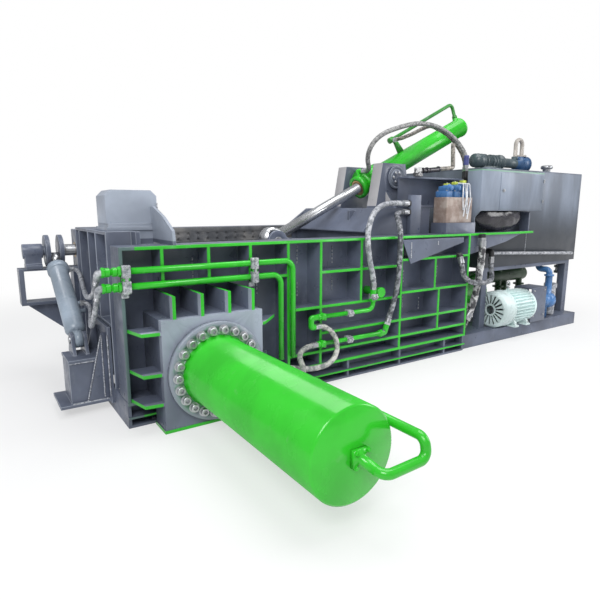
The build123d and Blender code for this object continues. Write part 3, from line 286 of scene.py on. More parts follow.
def mount_edges(made):
    """The edges of the shelves, ribs and foot of the side cylinder's mount."""
    axes = made.axes()
    normal = made.normal()
    upright = made.sum("ABSOLUTE", normal["Z"], 0.0)
    sideways = made.sum("ABSOLUTE", normal["X"], 0.0)
    not_flat = made.sum("LESS_THAN", upright, 0.6)
    left_shelf = made.sum("LESS_THAN", axes["X"], MOUNT_LEFT - SHELF_OVERHANG)
    right_shelf = made.sum("GREATER_THAN", axes["X"], MOUNT_RIGHT + SHELF_OVERHANG)
    shelves = made.sum("MULTIPLY", made.sum("MAXIMUM", left_shelf, right_shelf), not_flat)
    ribs = made.sum("MULTIPLY", made.sum("GREATER_THAN", axes["Z"], MOUNT_RIBS),
                    made.sum("LESS_THAN", sideways, 0.6))
    foot = made.sum("MULTIPLY", made.sum("LESS_THAN", axes["Z"], MOUNT_FOOT), not_flat)
    return made.sum("MAXIMUM", made.sum("MAXIMUM", shelves, ribs), foot)


def mount_face_painted_light(made):
    """The mount's front plate, painted palest at its top: painted light from above."""
    front = made.sum("LESS_THAN", made.axes()["Y"], MOUNT_FRONT + 0.058)
    return made.sum("MULTIPLY", front, made.between(made.axes()["Z"], 0.0, 0.83, 0.12, 0.85))


def above(height):
    """Everything over a height."""
    return lambda made: made.between(made.axes()["Z"], height, height + 0.004)


def lit_left_faces(made):
    """The faces of the two ears that look over the press box, towards the light; they are painted pale as
    painted light.
    """
    face = made.between(made.normal()["X"], -0.75, -0.65, 1.0, 0.0)
    high = made.between(made.axes()["Z"], EAR_FOOT, EAR_FOOT + 0.005)
    near_ears = made.between(made.axes()["X"], NEAR_EARS_END, NEAR_EARS_END + 0.01, 1.0, 0.0)
    return made.sum("MULTIPLY", made.sum("MULTIPLY", face, high), near_ears)


def left_of(edge):
    """A zone that covers everything left of a station."""
    return lambda made: made.between(made.axes()["X"], edge, edge + 0.004, 1.0, 0.0)


def overspray(made):
    """Green mist round the side cylinder, out over its flange."""
    far_out = flange_reach(made)
    cloud = made.cloud((12.0, 4.0), 0.3, 0.7, -0.03, 0.03)
    return made.between(made.sum("ADD", far_out, cloud), SIDE_TUBE + 0.01, SIDE_TUBE + 0.11, 0.75, 0.0)


def flange_reach(made):
    """Distance from the side cylinder's axis."""
    axes = made.axes()
    squares = []
    for axis, middle in (("X", SIDE_X), ("Z", SIDE_Z)):
        off = made.sum("ABSOLUTE", made.sum("SUBTRACT", axes[axis], middle), 0.0)
        squares.append(made.sum("POWER", off, 2.0))
    return made.sum("SQRT", made.sum("ADD", *squares), 0.0)


def gloss_green(name, flange=False):
    """Thick glossy enamel of the cylinders, with uneven tone and patches of light dust."""
    made = Finish(name)
    colour = paints().green
    patch = made.cloud((2.6, 4.0), 0.35, 0.68)
    colour_out = made.mix(patch, shade(colour, 0.88), shade(colour, 1.10))
    dust = made.cloud((9.0, 5.0, 0.6), 0.60, 0.80, 0.0, 0.22)
    colour_out = made.mix(dust, colour_out, (0.30, 0.55, 0.28, 1))
    if flange:
        out = made.between(flange_reach(made), SIDE_TUBE + 0.012, SIDE_TUBE + 0.016)
        grey = made.mix(overspray(made), shade(paints().slate_pale, 0.72), (0.10, 0.36, 0.14, 1))
        near_flange = made.sum("GREATER_THAN", made.axes()["Y"], MOUNT_FRONT - FLANGE - 0.002)
        colour_out = made.mix(made.sum("MULTIPLY", out, near_flange), colour_out, grey)
    made.coat(colour_out, made.cloud((6.0, 3.0), 0.3, 0.7, 0.17, 0.29))
    made.set(Coat_Weight=0.25, Coat_Roughness=0.10, Specular_IOR_Level=0.38)
    made.bump(made.noise(38.0, 2.0), 0.06, 0.002)
    return made.material


def ground_steel(name, tone, rough):
    """Turned or ground steel with fine scratches."""
    made = Finish(name)
    scratch = made.noise(160.0, 2.0, 0.5)
    smear = made.cloud((4.0, 4.0), 0.35, 0.7)
    colour_out = made.mix(made.between(scratch, 0.3, 0.7), shade(tone, 0.85), shade(tone, 1.1))
    colour_out = made.mix(smear, colour_out, shade(tone, 0.80))
    made.coat(colour_out, made.between(scratch, 0.2, 0.8, rough - 0.08, rough + 0.1))
    made.set(Metallic=0.9)
    made.bump(scratch, 0.05, 0.0005)
    return made.material


def wear_plate():
    """Rolled wear plate, scuffed grey with patches of rust."""
    made = Finish("wear_plate")
    scale_patch = made.cloud((5.0, 6.0, 0.6), 0.42, 0.68)
    colour_out = made.mix(scale_patch, (0.115, 0.120, 0.130, 1), (0.23, 0.225, 0.22, 1))
    rust = made.cloud((14.0, 5.0, 0.7), 0.62, 0.78, 0.0, 0.6)
    colour_out = made.mix(rust, colour_out, (0.16, 0.085, 0.045, 1))
    made.coat(colour_out, made.cloud((22.0, 3.0), 0.3, 0.7, 0.42, 0.7))
    made.set(Metallic=0.35)
    made.bump(made.noise(60.0, 4.0), 0.15, 0.002)
    return made.material


def tank_enamel(name, colour, top=None):
    """Tank enamel, darker and mottled towards the bottom, where shade is painted in, with soft vertical
    wipes.
    """
    made = Finish(name)
    wipe = made.cloud((3.2, 5.0, 0.6, (1, 1, 0.25)), 0.35, 0.7)
    colour_out = made.mix(wipe, shade(colour, 0.78), shade(colour, 1.30))
    height = made.axes()["Z"]
    # Painted shade: below 1.80 m the enamel darkens, to nearly a fifth of its tone at 1.20 m.
    low = made.between(height, 1.20, 1.80, 0.95, 0.0)
    colour_out = made.mix(low, colour_out, shade(colour, 0.20))
    made.set(Specular_IOR_Level=0.32)
    if top is not None:
        colour_out = made.mix(made.between(height, top - 0.016, top - 0.013), colour_out,
                              (0.20, 0.36, 0.27, 1))
    made.coat(colour_out, made.cloud((4.0, 4.0), 0.3, 0.7, 0.30, 0.46))
    made.bump(made.noise(30.0, 3.0), 0.08, 0.002)
    return made.material


def mottled(name, grain, levels, dark, pale, bump=None, **values):
    """Two tones of one colour in patches, with or without a fine bump."""
    made = Finish(name)
    made.coat(made.mix(made.cloud(grain, *levels), dark, pale))
    made.set(**values)
    if bump:
        made.bump(made.noise(*bump[0]), *bump[1:])
    return made.material


def weld_metal():
    """Weld bead: bright ripples under thin paint."""
    return mottled("weld_metal", (70.0, 3.0), (0.35, 0.65), (0.20, 0.21, 0.24, 1), (0.60, 0.62, 0.66, 1),
                   Roughness=0.42, Metallic=0.4)


def cast_tan():
    """Primed and slightly rusty casting of the valve manifold."""
    return mottled("cast_tan", (9.0, 5.0, 0.6), (0.38, 0.66), (0.27, 0.20, 0.17, 1), (0.44, 0.37, 0.33, 1),
                   ((120.0, 3.0), 0.25, 0.001), Roughness=0.55, Metallic=0.2)


def rubber(name, colour):
    """Braided rubber or moulded black plastic with a dull, dusty skin."""
    return mottled(name, (18.0, 5.0, 0.6), (0.45, 0.75, 0.0, 0.5), shade(colour, 1.0), shade(colour, 2.2),
                   ((140.0, 2.0), 0.12, 0.001), Roughness=0.48)


def film(name, pale, dark, grain=26.0, share=(0.42, 0.58), shine=0.30):
    """Plastic film or foil wound round a hose or a pipe: pale creases over a darker ground."""
    made = Finish(name)
    crease = made.noise(grain, 6.0, 0.72)
    colour_out = made.mix(made.between(crease, *share), shade(dark, 1.0), shade(pale, 1.0))
    cloud = made.cloud((5.0, 3.0), 0.35, 0.65, 0.0, 0.45)
    colour_out = made.mix(cloud, colour_out, shade(dark, 1.5))
    made.coat(colour_out, made.between(crease, 0.3, 0.7, shine + 0.18, shine - 0.08))
    made.bump(crease, 0.5, 0.006)
    return made.material


def make_materials():
    """All finishes of the machine, by name."""
    slate = tuple(paints().slate)
    pale_slate = tuple(paints().slate_pale)
    green = tuple(paints().green)
    pump = tuple(paints().pump)
    foil = (0.42, 0.42, 0.43)
    return {
        "slate": enamel("slate_enamel", slate),
        # The ears' faces towards the light are painted pale: painted light.
        "slate_ears": enamel("slate_pale_ears", slate, zones=[(lit_left_faces, (0.50, 0.49, 0.50))]),
        "slate_edges": enamel("slate_green_edges", slate, zones=[(front_edges, green)]),
        # The mount's front plate is painted paler towards its top as painted light; its edges are green
        # paint.
        "slate_mount": enamel("slate_green_mount", slate,
                              zones=[(mount_face_painted_light, pale_slate), (mount_edges, green)]),
        # The block above 1.372 m is painted pale slate: painted light and painted sheen, for the strong light
        # on the block.
        "slate_block": enamel("slate_block", slate, dust_and_sheen=0.2, zones=[(above(1.372), pale_slate)]),
        "deck": enamel("deck_enamel", slate, zones=[(front_edges, green), (above(1.953), foil)]),
        # Paler slate on rounded edges: wear, and a painted highlight along the edges.
        "worn_highlit_edge": enamel("worn_highlit_edge", tuple(0.8 * v for v in pale_slate), dust_and_sheen=0.2),
        "green": gloss_green("green_gloss"),
        "green_flange": gloss_green("green_gloss_flange", True),
        # Near-black green of the suction pipes: their own dark paint and painted shade behind the motor.
        "green_dark_and_shade": enamel("green_dark_enamel", tuple(0.10 * v + 0.022 for v in green), dust_and_sheen=0.15),
        "green_dull": enamel("green_dull_enamel", tuple(0.48 * v + 0.02 for v in green), dust_and_sheen=0.35),
        "pale": enamel("pale_enamel", tuple(paints().pale), gloss=0.26, dust_and_sheen=0.12),
        # Both the tank and the cabinet are painted darker low down: painted shade.
        "tank": tank_enamel("tank_enamel", tuple(paints().tank)),
        "cabinet": tank_enamel("cabinet_enamel", tuple(1.35 * v for v in paints().tank), CABINET_HIGH),
        "motor": enamel("motor_enamel", tuple(paints().motor), gloss=0.30, dust_and_sheen=0.2),
        "pump": enamel("pump_enamel", pump, gloss=0.28, dust_and_sheen=0.3),
        "top_pump": enamel("top_pump_enamel", tuple(0.5 * v for v in pump), gloss=0.28, dust_and_sheen=0.2,
                           zones=[(left_of(TANK_LEFT + 1.08), (0.060, 0.085, 0.095)),
                                  (above(TANK_TOP + 0.21), (0.36, 0.33, 0.30))]),
        "wear": wear_plate(),
        "rod": ground_steel("chromed_rod", (0.60, 0.61, 0.62), 0.27),
        "steel": ground_steel("turned_steel", (0.42, 0.43, 0.45), 0.34),
        "misted": ground_steel("misted_bolts", (0.17, 0.30, 0.19), 0.36),
        "zinc": ground_steel("zinc_plate", (0.55, 0.56, 0.58), 0.36),
        "bronze": ground_steel("bronze", (0.48, 0.31, 0.14), 0.32),
        "weld": weld_metal(),
        "tan": cast_tan(),
        "hose_pale": film("hose_pale_film", (0.56, 0.57, 0.60), (0.15, 0.16, 0.18)),
        "hose_dark": film("hose_dark_film", (0.40, 0.41, 0.44), (0.055, 0.06, 0.07), 22.0, (0.46, 0.62)),
        "hose_film": film("hose_thick_film", (0.55, 0.54, 0.50), (0.14, 0.15, 0.15), 16.0),
        "hose_brown": film("hose_brown_film", (0.42, 0.38, 0.33), (0.08, 0.075, 0.07), 30.0),
        "hose_bare": film("hose_bare_braid", (0.36, 0.36, 0.35), (0.12, 0.12, 0.12), 40.0),
        "hose_foil": film("hose_crumpled_foil", (0.72, 0.72, 0.72), (0.05, 0.05, 0.055), 13.0,
                          (0.46, 0.55)),
        "black_film": film("black_film", (0.060, 0.052, 0.075), (0.014, 0.013, 0.018), 4.0,
                           (0.45, 0.75), 0.14),
        "black": rubber("black_rubber", (0.018, 0.018, 0.020)),
        "blue_sleeve": rubber("blue_sleeve", (0.055, 0.065, 0.22)),
        "connector": rubber("yellow_connector", (0.42, 0.50, 0.06)),
        "white_strip": film("white_strip", (0.74, 0.75, 0.77), (0.42, 0.44, 0.48), 12.0),
    }


MATERIALS = {}


def finish(name):
    if not MATERIALS:
        MATERIALS.update(make_materials())
    return MATERIALS[name]


# Modelling: each helper leaves the new piece selected alone


def deselect():
    if bpy.context.mode != "OBJECT":
        bpy.ops.object.mode_set(mode="OBJECT")
    bpy.ops.object.select_all(action="DESELECT")


def pick(*pieces):
    deselect()
    for piece in pieces:
        piece.select_set(True)
    bpy.context.view_layer.objects.active = pieces[-1]


def joined(pieces):
    pick(*pieces)
    if len(pieces) > 1:
        bpy.ops.object.join()
    return bpy.context.object


def turned(profile, place, direction=(0, 0, 1), segments=32):
    """A solid of revolution: rings at (distance, radius) along its axis, closed at both ends."""
    deselect()
    reach, radius = profile[0]
    bpy.ops.mesh.primitive_circle_add(vertices=segments, radius=radius, fill_type="NGON",
                                      location=(0, 0, reach))
    piece = bpy.context.object
    bpy.ops.object.mode_set(mode="EDIT")
    bpy.ops.mesh.select_all(action="SELECT")
    for distance, wide in profile[1:]:
        bpy.ops.mesh.extrude_region_move(TRANSFORM_OT_translate={"value": (0, 0, distance - reach)})
        share = wide / radius
        bpy.ops.transform.resize(value=(share, share, 1), center_override=(0, 0, distance))
        reach, radius = distance, wide
    bpy.ops.mesh.select_all(action="SELECT")
    bpy.ops.mesh.normals_make_consistent(inside=False)
    bpy.ops.object.mode_set(mode="OBJECT")
    bpy.ops.object.transform_apply(location=True, rotation=True, scale=True)
    turn = Vector(direction).to_track_quat("Z", "Y").to_matrix().to_4x4()
    piece.matrix_world = Matrix.Translation(place) @ turn
    return piece


def block(low, high, edge=0.004, segments=2):
    """A box from corner to corner with rounded edges."""
    deselect()
    middle = [(a + b) / 2 for a, b in zip(low, high)]
    span = [b - a for a, b in zip(low, high)]
    bpy.ops.mesh.primitive_cube_add(size=1, location=middle, scale=span)
    piece = bpy.context.object
    bpy.ops.object.transform_apply(location=True, rotation=True, scale=True)
    bpy.ops.object.mode_set(mode="EDIT")
    bpy.ops.mesh.select_all(action="SELECT")
    bpy.ops.mesh.bevel(offset=edge, segments=segments, affect="EDGES")
    bpy.ops.object.mode_set(mode="OBJECT")
    return piece


def plate(outline, shift):
    """A plate from its outline, pulled out by a shift, with rounded edges."""
    deselect()
    bpy.ops.mesh.primitive_circle_add(vertices=len(outline), radius=1, fill_type="NGON")
    piece = bpy.context.object
    for vertex, place in zip(piece.data.vertices, outline):
        vertex.co = place
    bpy.ops.object.mode_set(mode="EDIT")
    bpy.ops.mesh.select_all(action="SELECT")
    bpy.ops.mesh.extrude_region_move(TRANSFORM_OT_translate={"value": shift})
    bpy.ops.mesh.select_all(action="SELECT")
    bpy.ops.mesh.normals_make_consistent(inside=False)
    bpy.ops.mesh.bevel(offset=0.003, segments=2, affect="EDGES")
    bpy.ops.object.mode_set(mode="OBJECT")
    return piece


def copies(piece, places):
    """Copies a piece to each place, each copy with its own mesh, and joins them."""
    made = []
    for place in places:
        twin = piece.copy()
        twin.data = piece.data.copy()
        twin.matrix_world = Matrix.Translation(place) @ piece.matrix_world
        bpy.context.collection.objects.link(twin)
        made.append(twin)
    bpy.data.objects.remove(piece)
    return joined(made)


def pipe(points, radius, bend):
    """A rigid pipe whose corners are bent, as a closed mesh."""
    route = [Vector(points[0])]
    for before, corner, after in zip(points, points[1:], points[2:]):
        corner = Vector(corner)
        route.append(corner + bend * (Vector(before) - corner).normalized())
        route.append(corner)
        route.append(corner + bend * (Vector(after) - corner).normalized())
    route.append(Vector(points[-1]))
    piece = spline("pipe", route, radius)
    piece.data.use_fill_caps = True
    pick(piece)
    bpy.ops.object.convert(target="MESH")
    return bpy.context.object


def spline(name, points, radius):
    """A NURBS curve of order three through its end points, bevelled to a radius."""
    curve = bpy.data.curves.new(name, "CURVE")
    curve.dimensions = "3D"
    line = curve.splines.new("NURBS")
    line.points.add(len(points) - 1)
    for point, place in zip(line.points, points):
        point.co = (*place, 1)
    line.order_u = 3
    line.use_endpoint_u = True
    curve.resolution_u = 8
    curve.bevel_depth = radius
    curve.bevel_resolution = 6
    made = bpy.data.objects.new(name, curve)
    bpy.context.collection.objects.link(made)
    return made


def settle(piece, name, paint, body="root", smooth=35.0):
    """Puts a piece's place into its mesh, names and paints it, and lets it ride on its body."""
    pick(piece)
    bpy.ops.object.transform_apply(location=True, rotation=True, scale=True)
    piece.data.materials.clear()
    piece.data.materials.append(finish(paint))
    bpy.ops.object.shade_smooth_by_angle(angle=math.radians(smooth))
    piece.name = piece.data.name = name
    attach(piece, body)
    return piece


def slab(x, half, near, far, low, high, edge=0.006, segments=2):
    """A block centred on a station, between its near and far sides and its heights."""
    return block((x - half, near, low), (x + half, far, high), edge, segments)


def collar(rim, radius, chamfer, length, place, direction=(1, 0, 0), segments=32):
    """A round or six-sided collar with the same chamfer at both ends."""
    return turned([(0, rim), (chamfer, radius), (length - chamfer, radius), (length, rim)],
                  place, direction, segments)


def on_circle(count, radius, middle, across, up, start=0.0):
    """Places spread evenly on a circle round a middle, in the plane of two axes."""
    places = []
    for step in range(count):
        turn = math.tau * (step + start) / count
        place = list(middle)
        place[across] += radius * math.cos(turn)
        place[up] += radius * math.sin(turn)
        places.append(tuple(place))
    return places


def hex_head(across, height, direction, washer):
    """A hexagon head with a chamfered top, with or without its washer."""
    middle = (0, 0, 0)
    head = turned([(0, across), (height * 0.8, across), (height, across * 0.82)], middle, direction, 6)
    if not washer:
        return head
    ring = turned([(0, across * 1.3), (height * 0.18, across * 1.3), (height * 0.22, across * 1.2)],
                  middle, direction, 20)
    return joined([ring, head])


def bolts(name, across, height, direction, places, paint="zinc", washer=True):
    """Hexagon heads at their places, as one piece."""
    return settle(copies(hex_head(across, height, direction, washer), places), name, paint)


def socket_head(radius, height, direction):
    """A socket head bolt on a washer: chamfered cylinder with a hexagonal recess."""
    head = turned([(0, radius * 1.28), (0.004, radius * 1.28), (0.005, radius * 1.2), (0.005, radius),
                   (height - 0.004, radius), (height, radius * 0.88), (height, radius * 0.56),
                   (height * 0.45, radius * 0.56)], (0, 0, 0), direction, 24)
    for vertex in head.data.vertices:
        reach = vertex.co.xy.length
        if vertex.co.z > height * 0.4 and 0.5 * radius < reach < 0.6 * radius:
            turn = math.atan2(vertex.co.y, vertex.co.x) % (math.pi / 3) - math.pi / 6
            vertex.co.xy *= math.cos(math.pi / 6) / math.cos(turn)
    return head


def weld_line(name, lines, half):
    """Weld beads along straight lines: rippled rods that are half sunk in the plates."""
    chance = random.Random(WELD_SEED)
    curve = bpy.data.curves.new(name, "CURVE")
    curve.dimensions = "3D"
    for start, end in lines:
        start, end = Vector(start), Vector(end)
        steps = max(2, round((end - start).length / (half * 1.15)))
        bead = curve.splines.new("POLY")
        bead.points.add(steps)
        for count, point in enumerate(bead.points):
            point.co = (*start.lerp(end, count / steps), 1)
            point.radius = (1.0 if count % 2 else 0.68) * chance.uniform(0.85, 1.1)
    curve.bevel_depth = half
    curve.bevel_resolution = 1
    curve.use_fill_caps = True
    made = bpy.data.objects.new(name, curve)
    bpy.context.collection.objects.link(made)
    pick(made)
    bpy.ops.object.convert(target="MESH")
    return settle(bpy.context.object, name, "weld", smooth=ROUND_ANGLE)


# Hoses: name, radius, finish, stiffness, length, how many points of the route lie hidden
# in the bend at its far end, and the route. The routes were picked by hand, and most of
# their points were then moved by a smoothing program, which is why they aren't round numbers

HOSES = (
    ("near_left", 0.025, "hose_pale", "medium", 1.527, 1, (
        (1.128, -0.686, 1.668), (1.0123, -0.686, 1.668), (0.8944, -0.707, 1.6682), (0.7722, -0.7449, 1.6608),
        (0.6485, -0.7933, 1.6384), (0.5331, -0.8442, 1.5936), (0.4385, -0.8903, 1.5227),
        (0.3759, -0.9264, 1.428), (0.3498, -0.9496, 1.3179), (0.3557, -0.9597, 1.2046),
        (0.3822, -0.9598, 1.0986), (0.4141, -0.9546, 1.0057), (0.434, -0.95, 0.9249), (0.434, -0.95, 0.85),
        (0.434, -0.95, 0.79))),
    ("near_right", 0.025, "hose_dark", "medium", 1.586, 2, (
        (1.128, -0.686, 1.578), (1.0476, -0.686, 1.578), (0.9686, -0.7104, 1.5708), (0.8848, -0.7686, 1.5516),
        (0.8184, -0.8667, 1.5057), (0.7774, -0.9393, 1.4126), (0.7578, -0.9666, 1.299),
        (0.7541, -0.9705, 1.1764), (0.7536, -0.968, 1.0423), (0.7442, -0.9643, 0.8947),
        (0.7174, -0.9568, 0.7473), (0.6757, -0.95, 0.6084), (0.625, -0.95, 0.48), (0.595, -0.95, 0.404),
        (0.548, -0.95, 0.404))),
    ("tip_upper", 0.017, "hose_pale", "limp", 1.694, 2, (
        (-1.987, 0.5853, 1.0508), (-1.9483, 0.5853, 1.0508), (-1.9214, 0.5577, 1.0384),
        (-1.9185, 0.4931, 1.0146), (-1.9256, 0.3941, 0.9861), (-1.9401, 0.2631, 0.9592),
        (-1.9609, 0.1057, 0.939), (-1.9855, -0.0695, 0.9284), (-2.0102, -0.2513, 0.9287),
        (-2.0309, -0.4292, 0.9395), (-2.0446, -0.5917, 0.9614), (-2.0501, -0.7278, 0.9972),
        (-2.05, -0.8308, 1.0514), (-2.05, -0.9, 1.13), (-2.05, -0.944, 1.18), (-2.015, -0.944, 1.18))),
    ("tip_lower", 0.017, "hose_pale", "limp", 1.351, 2, (
        (-1.987, 0.1811, 0.7919), (-1.9462, 0.1811, 0.7919), (-1.9185, 0.1511, 0.7759),
        (-1.922, 0.0824, 0.7469), (-1.9432, -0.0212, 0.7162), (-1.9714, -0.1523, 0.6946),
        (-1.9991, -0.2977, 0.6898), (-2.0223, -0.4434, 0.7061), (-2.0389, -0.5764, 0.7451),
        (-2.0482, -0.6868, 0.804), (-2.051, -0.772, 0.8754), (-2.05, -0.838, 0.9495), (-2.05, -0.9, 1.02),
        (-2.05, -0.944, 1.07), (-2.015, -0.944, 1.07))),
    ("lid_front", 0.025, "hose_bare", "medium", 2.425, 2, (
        (1.0278, -0.07, 2.0301), (1.0278, -0.1295, 2.0301), (1.0077, -0.1871, 2.0356),
        (0.9541, -0.256, 2.0574), (0.8791, -0.3089, 2.1329), (0.8729, -0.3516, 2.2437),
        (0.9309, -0.3914, 2.3395), (1.0255, -0.4202, 2.4055), (1.1548, -0.422, 2.4507),
        (1.3066, -0.4216, 2.4979), (1.4695, -0.4211, 2.5355), (1.6377, -0.4174, 2.5482),
        (1.8046, -0.4116, 2.5394), (1.9565, -0.4071, 2.5069), (2.0778, -0.4235, 2.4523),
        (2.1619, -0.468, 2.3585), (2.2, -0.55, 2.2147), (2.2, -0.55, 2.05), (2.2, -0.55, 1.96),
        (2.345, -0.55, 1.96))),
    ("lid_rear", 0.02, "hose_brown", "medium", 1.451, 2, (
        (1.501, -0.062, 2.4044), (1.501, -0.1351, 2.4044), (1.5202, -0.2065, 2.4183),
        (1.558, -0.2664, 2.4434), (1.6124, -0.3094, 2.476), (1.6931, -0.3344, 2.5175),
        (1.8184, -0.3207, 2.5576), (1.9472, -0.3051, 2.5371), (2.067, -0.3342, 2.4914),
        (2.1627, -0.3787, 2.4076), (2.2338, -0.4185, 2.308), (2.2668, -0.455, 2.2114), (2.275, -0.47, 2.1278),
        (2.275, -0.47, 2.05), (2.275, -0.47, 1.96), (2.345, -0.47, 1.96))),
    ("side_front", 0.022, "hose_film", "medium", 1.574, 3, (
        (-1, -1.3, 0.418), (-0.953, -1.3, 0.418), (-0.8967, -1.287, 0.4088), (-0.821, -1.2599, 0.3864),
        (-0.7203, -1.2227, 0.3515), (-0.5979, -1.1811, 0.3099), (-0.4648, -1.1419, 0.2718),
        (-0.3341, -1.1083, 0.2476), (-0.2165, -1.0804, 0.2448), (-0.122, -1.056, 0.2693),
        (-0.062, -1.0315, 0.3254), (-0.0378, -1.0055, 0.3996), (-0.0518, -0.9808, 0.4752),
        (-0.1, -0.961, 0.5363), (-0.1721, -0.95, 0.57), (-0.25, -0.95, 0.57), (-0.292, -0.95, 0.57),
        (-0.292, -0.95, 0.655), (-0.232, -0.95, 0.655))),
    ("side_rear", 0.022, "hose_film", "medium", 1.358, 0, (
        (-0.981, -1.96, 0.5), (-0.981, -1.8591, 0.5), (-0.9463, -1.7579, 0.4799), (-0.8806, -1.6552, 0.4461),
        (-0.7964, -1.55, 0.4086), (-0.7085, -1.4407, 0.3768), (-0.6297, -1.3256, 0.3584),
        (-0.5661, -1.2077, 0.3556), (-0.5138, -1.0978, 0.3669), (-0.4501, -1.0179, 0.3848),
        (-0.3769, -0.9714, 0.3976), (-0.3014, -0.95, 0.404), (-0.225, -0.95, 0.404))),
    ("deck_loop", 0.027, "hose_dark", "limp", 1.278, 2, (
        (1.7, -0.938, 1.095), (1.7, -0.962, 1.03), (1.708, -0.969, 0.96), (1.7292, -0.9695, 0.8974),
        (1.788, -0.9788, 0.8381), (1.8838, -0.9895, 0.8015), (2.0104, -0.9949, 0.7892),
        (2.1478, -0.981, 0.7887), (2.2757, -0.9396, 0.7977), (2.3749, -0.8746, 0.8258),
        (2.4326, -0.8203, 0.8858), (2.46, -0.79, 0.9652), (2.46, -0.79, 1.05), (2.46, -0.79, 1.11),
        (2.46, -0.735, 1.11))),
    ("power", 0.036, "hose_foil", "limp", 1.13, 2, (
        (2.06, -0.935, 1.292), (2.06, -0.944, 1.18), (2.061, -0.946, 1.07), (2.0689, -0.9333, 0.9656),
        (2.0827, -0.9111, 0.863), (2.0969, -0.8866, 0.7528), (2.1057, -0.8623, 0.6391),
        (2.1009, -0.8399, 0.527), (2.0758, -0.8238, 0.4218), (2.015, -0.817, 0.33), (1.985, -0.812, 0.262),
        (1.915, -0.812, 0.262))),
)


def crumple(piece, name, grain, depth, strength, level):
    """Crumples a mesh by a texture of clouds."""
    folds = bpy.data.textures.new(name, "CLOUDS")
    folds.noise_scale = grain
    folds.noise_depth = depth
    shove = piece.modifiers.new("folds", "DISPLACE")
    shove.texture = folds
    shove.strength = strength
    shove.mid_level = level
    bpy.ops.object.modifier_apply(modifier="folds")


def film_cover(name, route, radius, paint):
    """The film wound round a hose: its route with a little more girth, crumpled."""
    cover = spline(f"{name}_film", route, radius * 1.04)
    cover.data.resolution_u = 14
    cover.data.bevel_resolution = 7
    pick(cover)
    bpy.ops.object.convert(target="MESH")
    cover = bpy.context.object
    strength = FOIL_FOLDS if paint == "hose_foil" else FILM_FOLDS
    crumple(cover, f"{name}_folds", radius * 1.5, 2, strength, 0.42)
    return settle(cover, f"{name}_film", paint, smooth=ROUND_ANGLE)


def ferrule(name, place, towards, radius):
    """The crimped sleeve and nut at a hose's end."""
    along = (Vector(towards) - Vector(place)).normalized()
    nut = turned([(0, radius * 1.35), (radius * 0.9, radius * 1.35), (radius, radius * 1.2)], place, along, 6)
    rings = [(radius, radius * 1.12)]
    for step in range(4):
        start = radius * (1.1 + 0.42 * step)
        rings += [(start, radius * 1.28), (start + radius * 0.26, radius * 1.28),
                  (start + radius * 0.32, radius * 1.14)]
    sleeve = turned(rings, place, along, 24)
    return settle(joined([nut, sleeve]), name, "zinc")


class BALER_OT_hoses(bpy.types.Operator):
    """Lays the ten hoses on their routes, with their film and end fittings"""

    bl_idname = "baler.hoses"
    bl_label = "Add the hoses"

    def execute(self, context):
        for name, radius, paint, stiffness, length, hidden, route in HOSES:
            hose = spline(f"hose_{name}_run", route, radius)
            hose.data.materials.append(finish(paint))
            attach(hose, "root")
            with_it = [ferrule(f"{name}_start_fitting", route[0], route[1], radius),
                       ferrule(f"{name}_end_fitting", route[-1 - hidden], route[-2 - hidden], radius)]
            if paint != "hose_bare":
                with_it.append(film_cover(name, route, radius, paint))
            else:
                sleeve = turned([(0, radius * 1.05), (0.004, radius * 1.25), (0.105, radius * 1.25),
                                 (0.112, radius * 1.05)], Vector(route[-1 - hidden]) + Vector((0, 0, 0.065)))
                with_it.append(settle(sleeve, "lid_front_sleeve", "blue_sleeve"))
        return {"FINISHED"}


# The CAD nodes and the finish that each one wears

NODE_FINISH = {
    "base_skid": "slate_edges", "near_side_wall": "slate_edges", "deck": "deck",
    "side_cylinder_mount": "slate_mount", "bay_roof": "slate_block",
    "far_side_wall": "slate", "end_wall": "slate", "tunnel_roof": "slate_ears",
    "cylinder_hood": "slate_ears", "trunnion_caps": "slate", "rear_crosshead": "slate_ears",
    "tip_bracket": "slate",
    "shaft_support": "slate", "lid": "slate", "discharge_door": "slate", "power_base": "slate",
    "crank_discs": "slate", "coupling_guard": "slate",
    "box_liners": "wear", "far_top_blade": "wear", "main_pusher": "wear", "side_pusher": "wear",
    "side_barrel": "green_flange", "main_barrel": "green", "lid_barrel": "green",
    "side_feed_pipe": "green", "lid_feed_pipe": "green_dull", "wall_pipes": "green",
    "flange_bolts": "misted", "hinge_pins": "steel", "lid_pin": "steel", "crank_pin": "steel",
    "main_rod": "rod", "side_rod": "rod", "lid_rod": "rod", "tip_rod": "rod", "door_shaft": "steel",
    "motor_rotor": "steel", "bushes": "bronze", "ram_glands": "bronze", "lid_gland": "bronze",
    "tip_gland": "bronze", "tip_barrel": "pale", "oil_tank": "tank", "tank_cover": "tank",
    "control_cabinet": "cabinet", "motor_frame": "motor", "main_pump": "pump",
    "cooler_pump": "top_pump", "valve_coils": "pump", "valve_manifold": "tan", "breather_cap": "steel",
}
ROUND_NODES = {"side_barrel", "lid_barrel", "main_barrel", "side_feed_pipe", "lid_feed_pipe", "wall_pipes",
               "cooler_pump", "main_pump", "lid_rod", "tip_rod", "side_rod", "main_rod", "tip_barrel"}
# Nodes whose rounded edges get the paler paint of wear and painted highlight.
WORN_HIGHLIT_NODES = {"far_side_wall", "end_wall", "bay_roof", "tunnel_roof", "cylinder_hood", "rear_crosshead",
              "trunnion_caps", "tip_bracket", "shaft_support", "lid", "discharge_door", "crank_discs"}


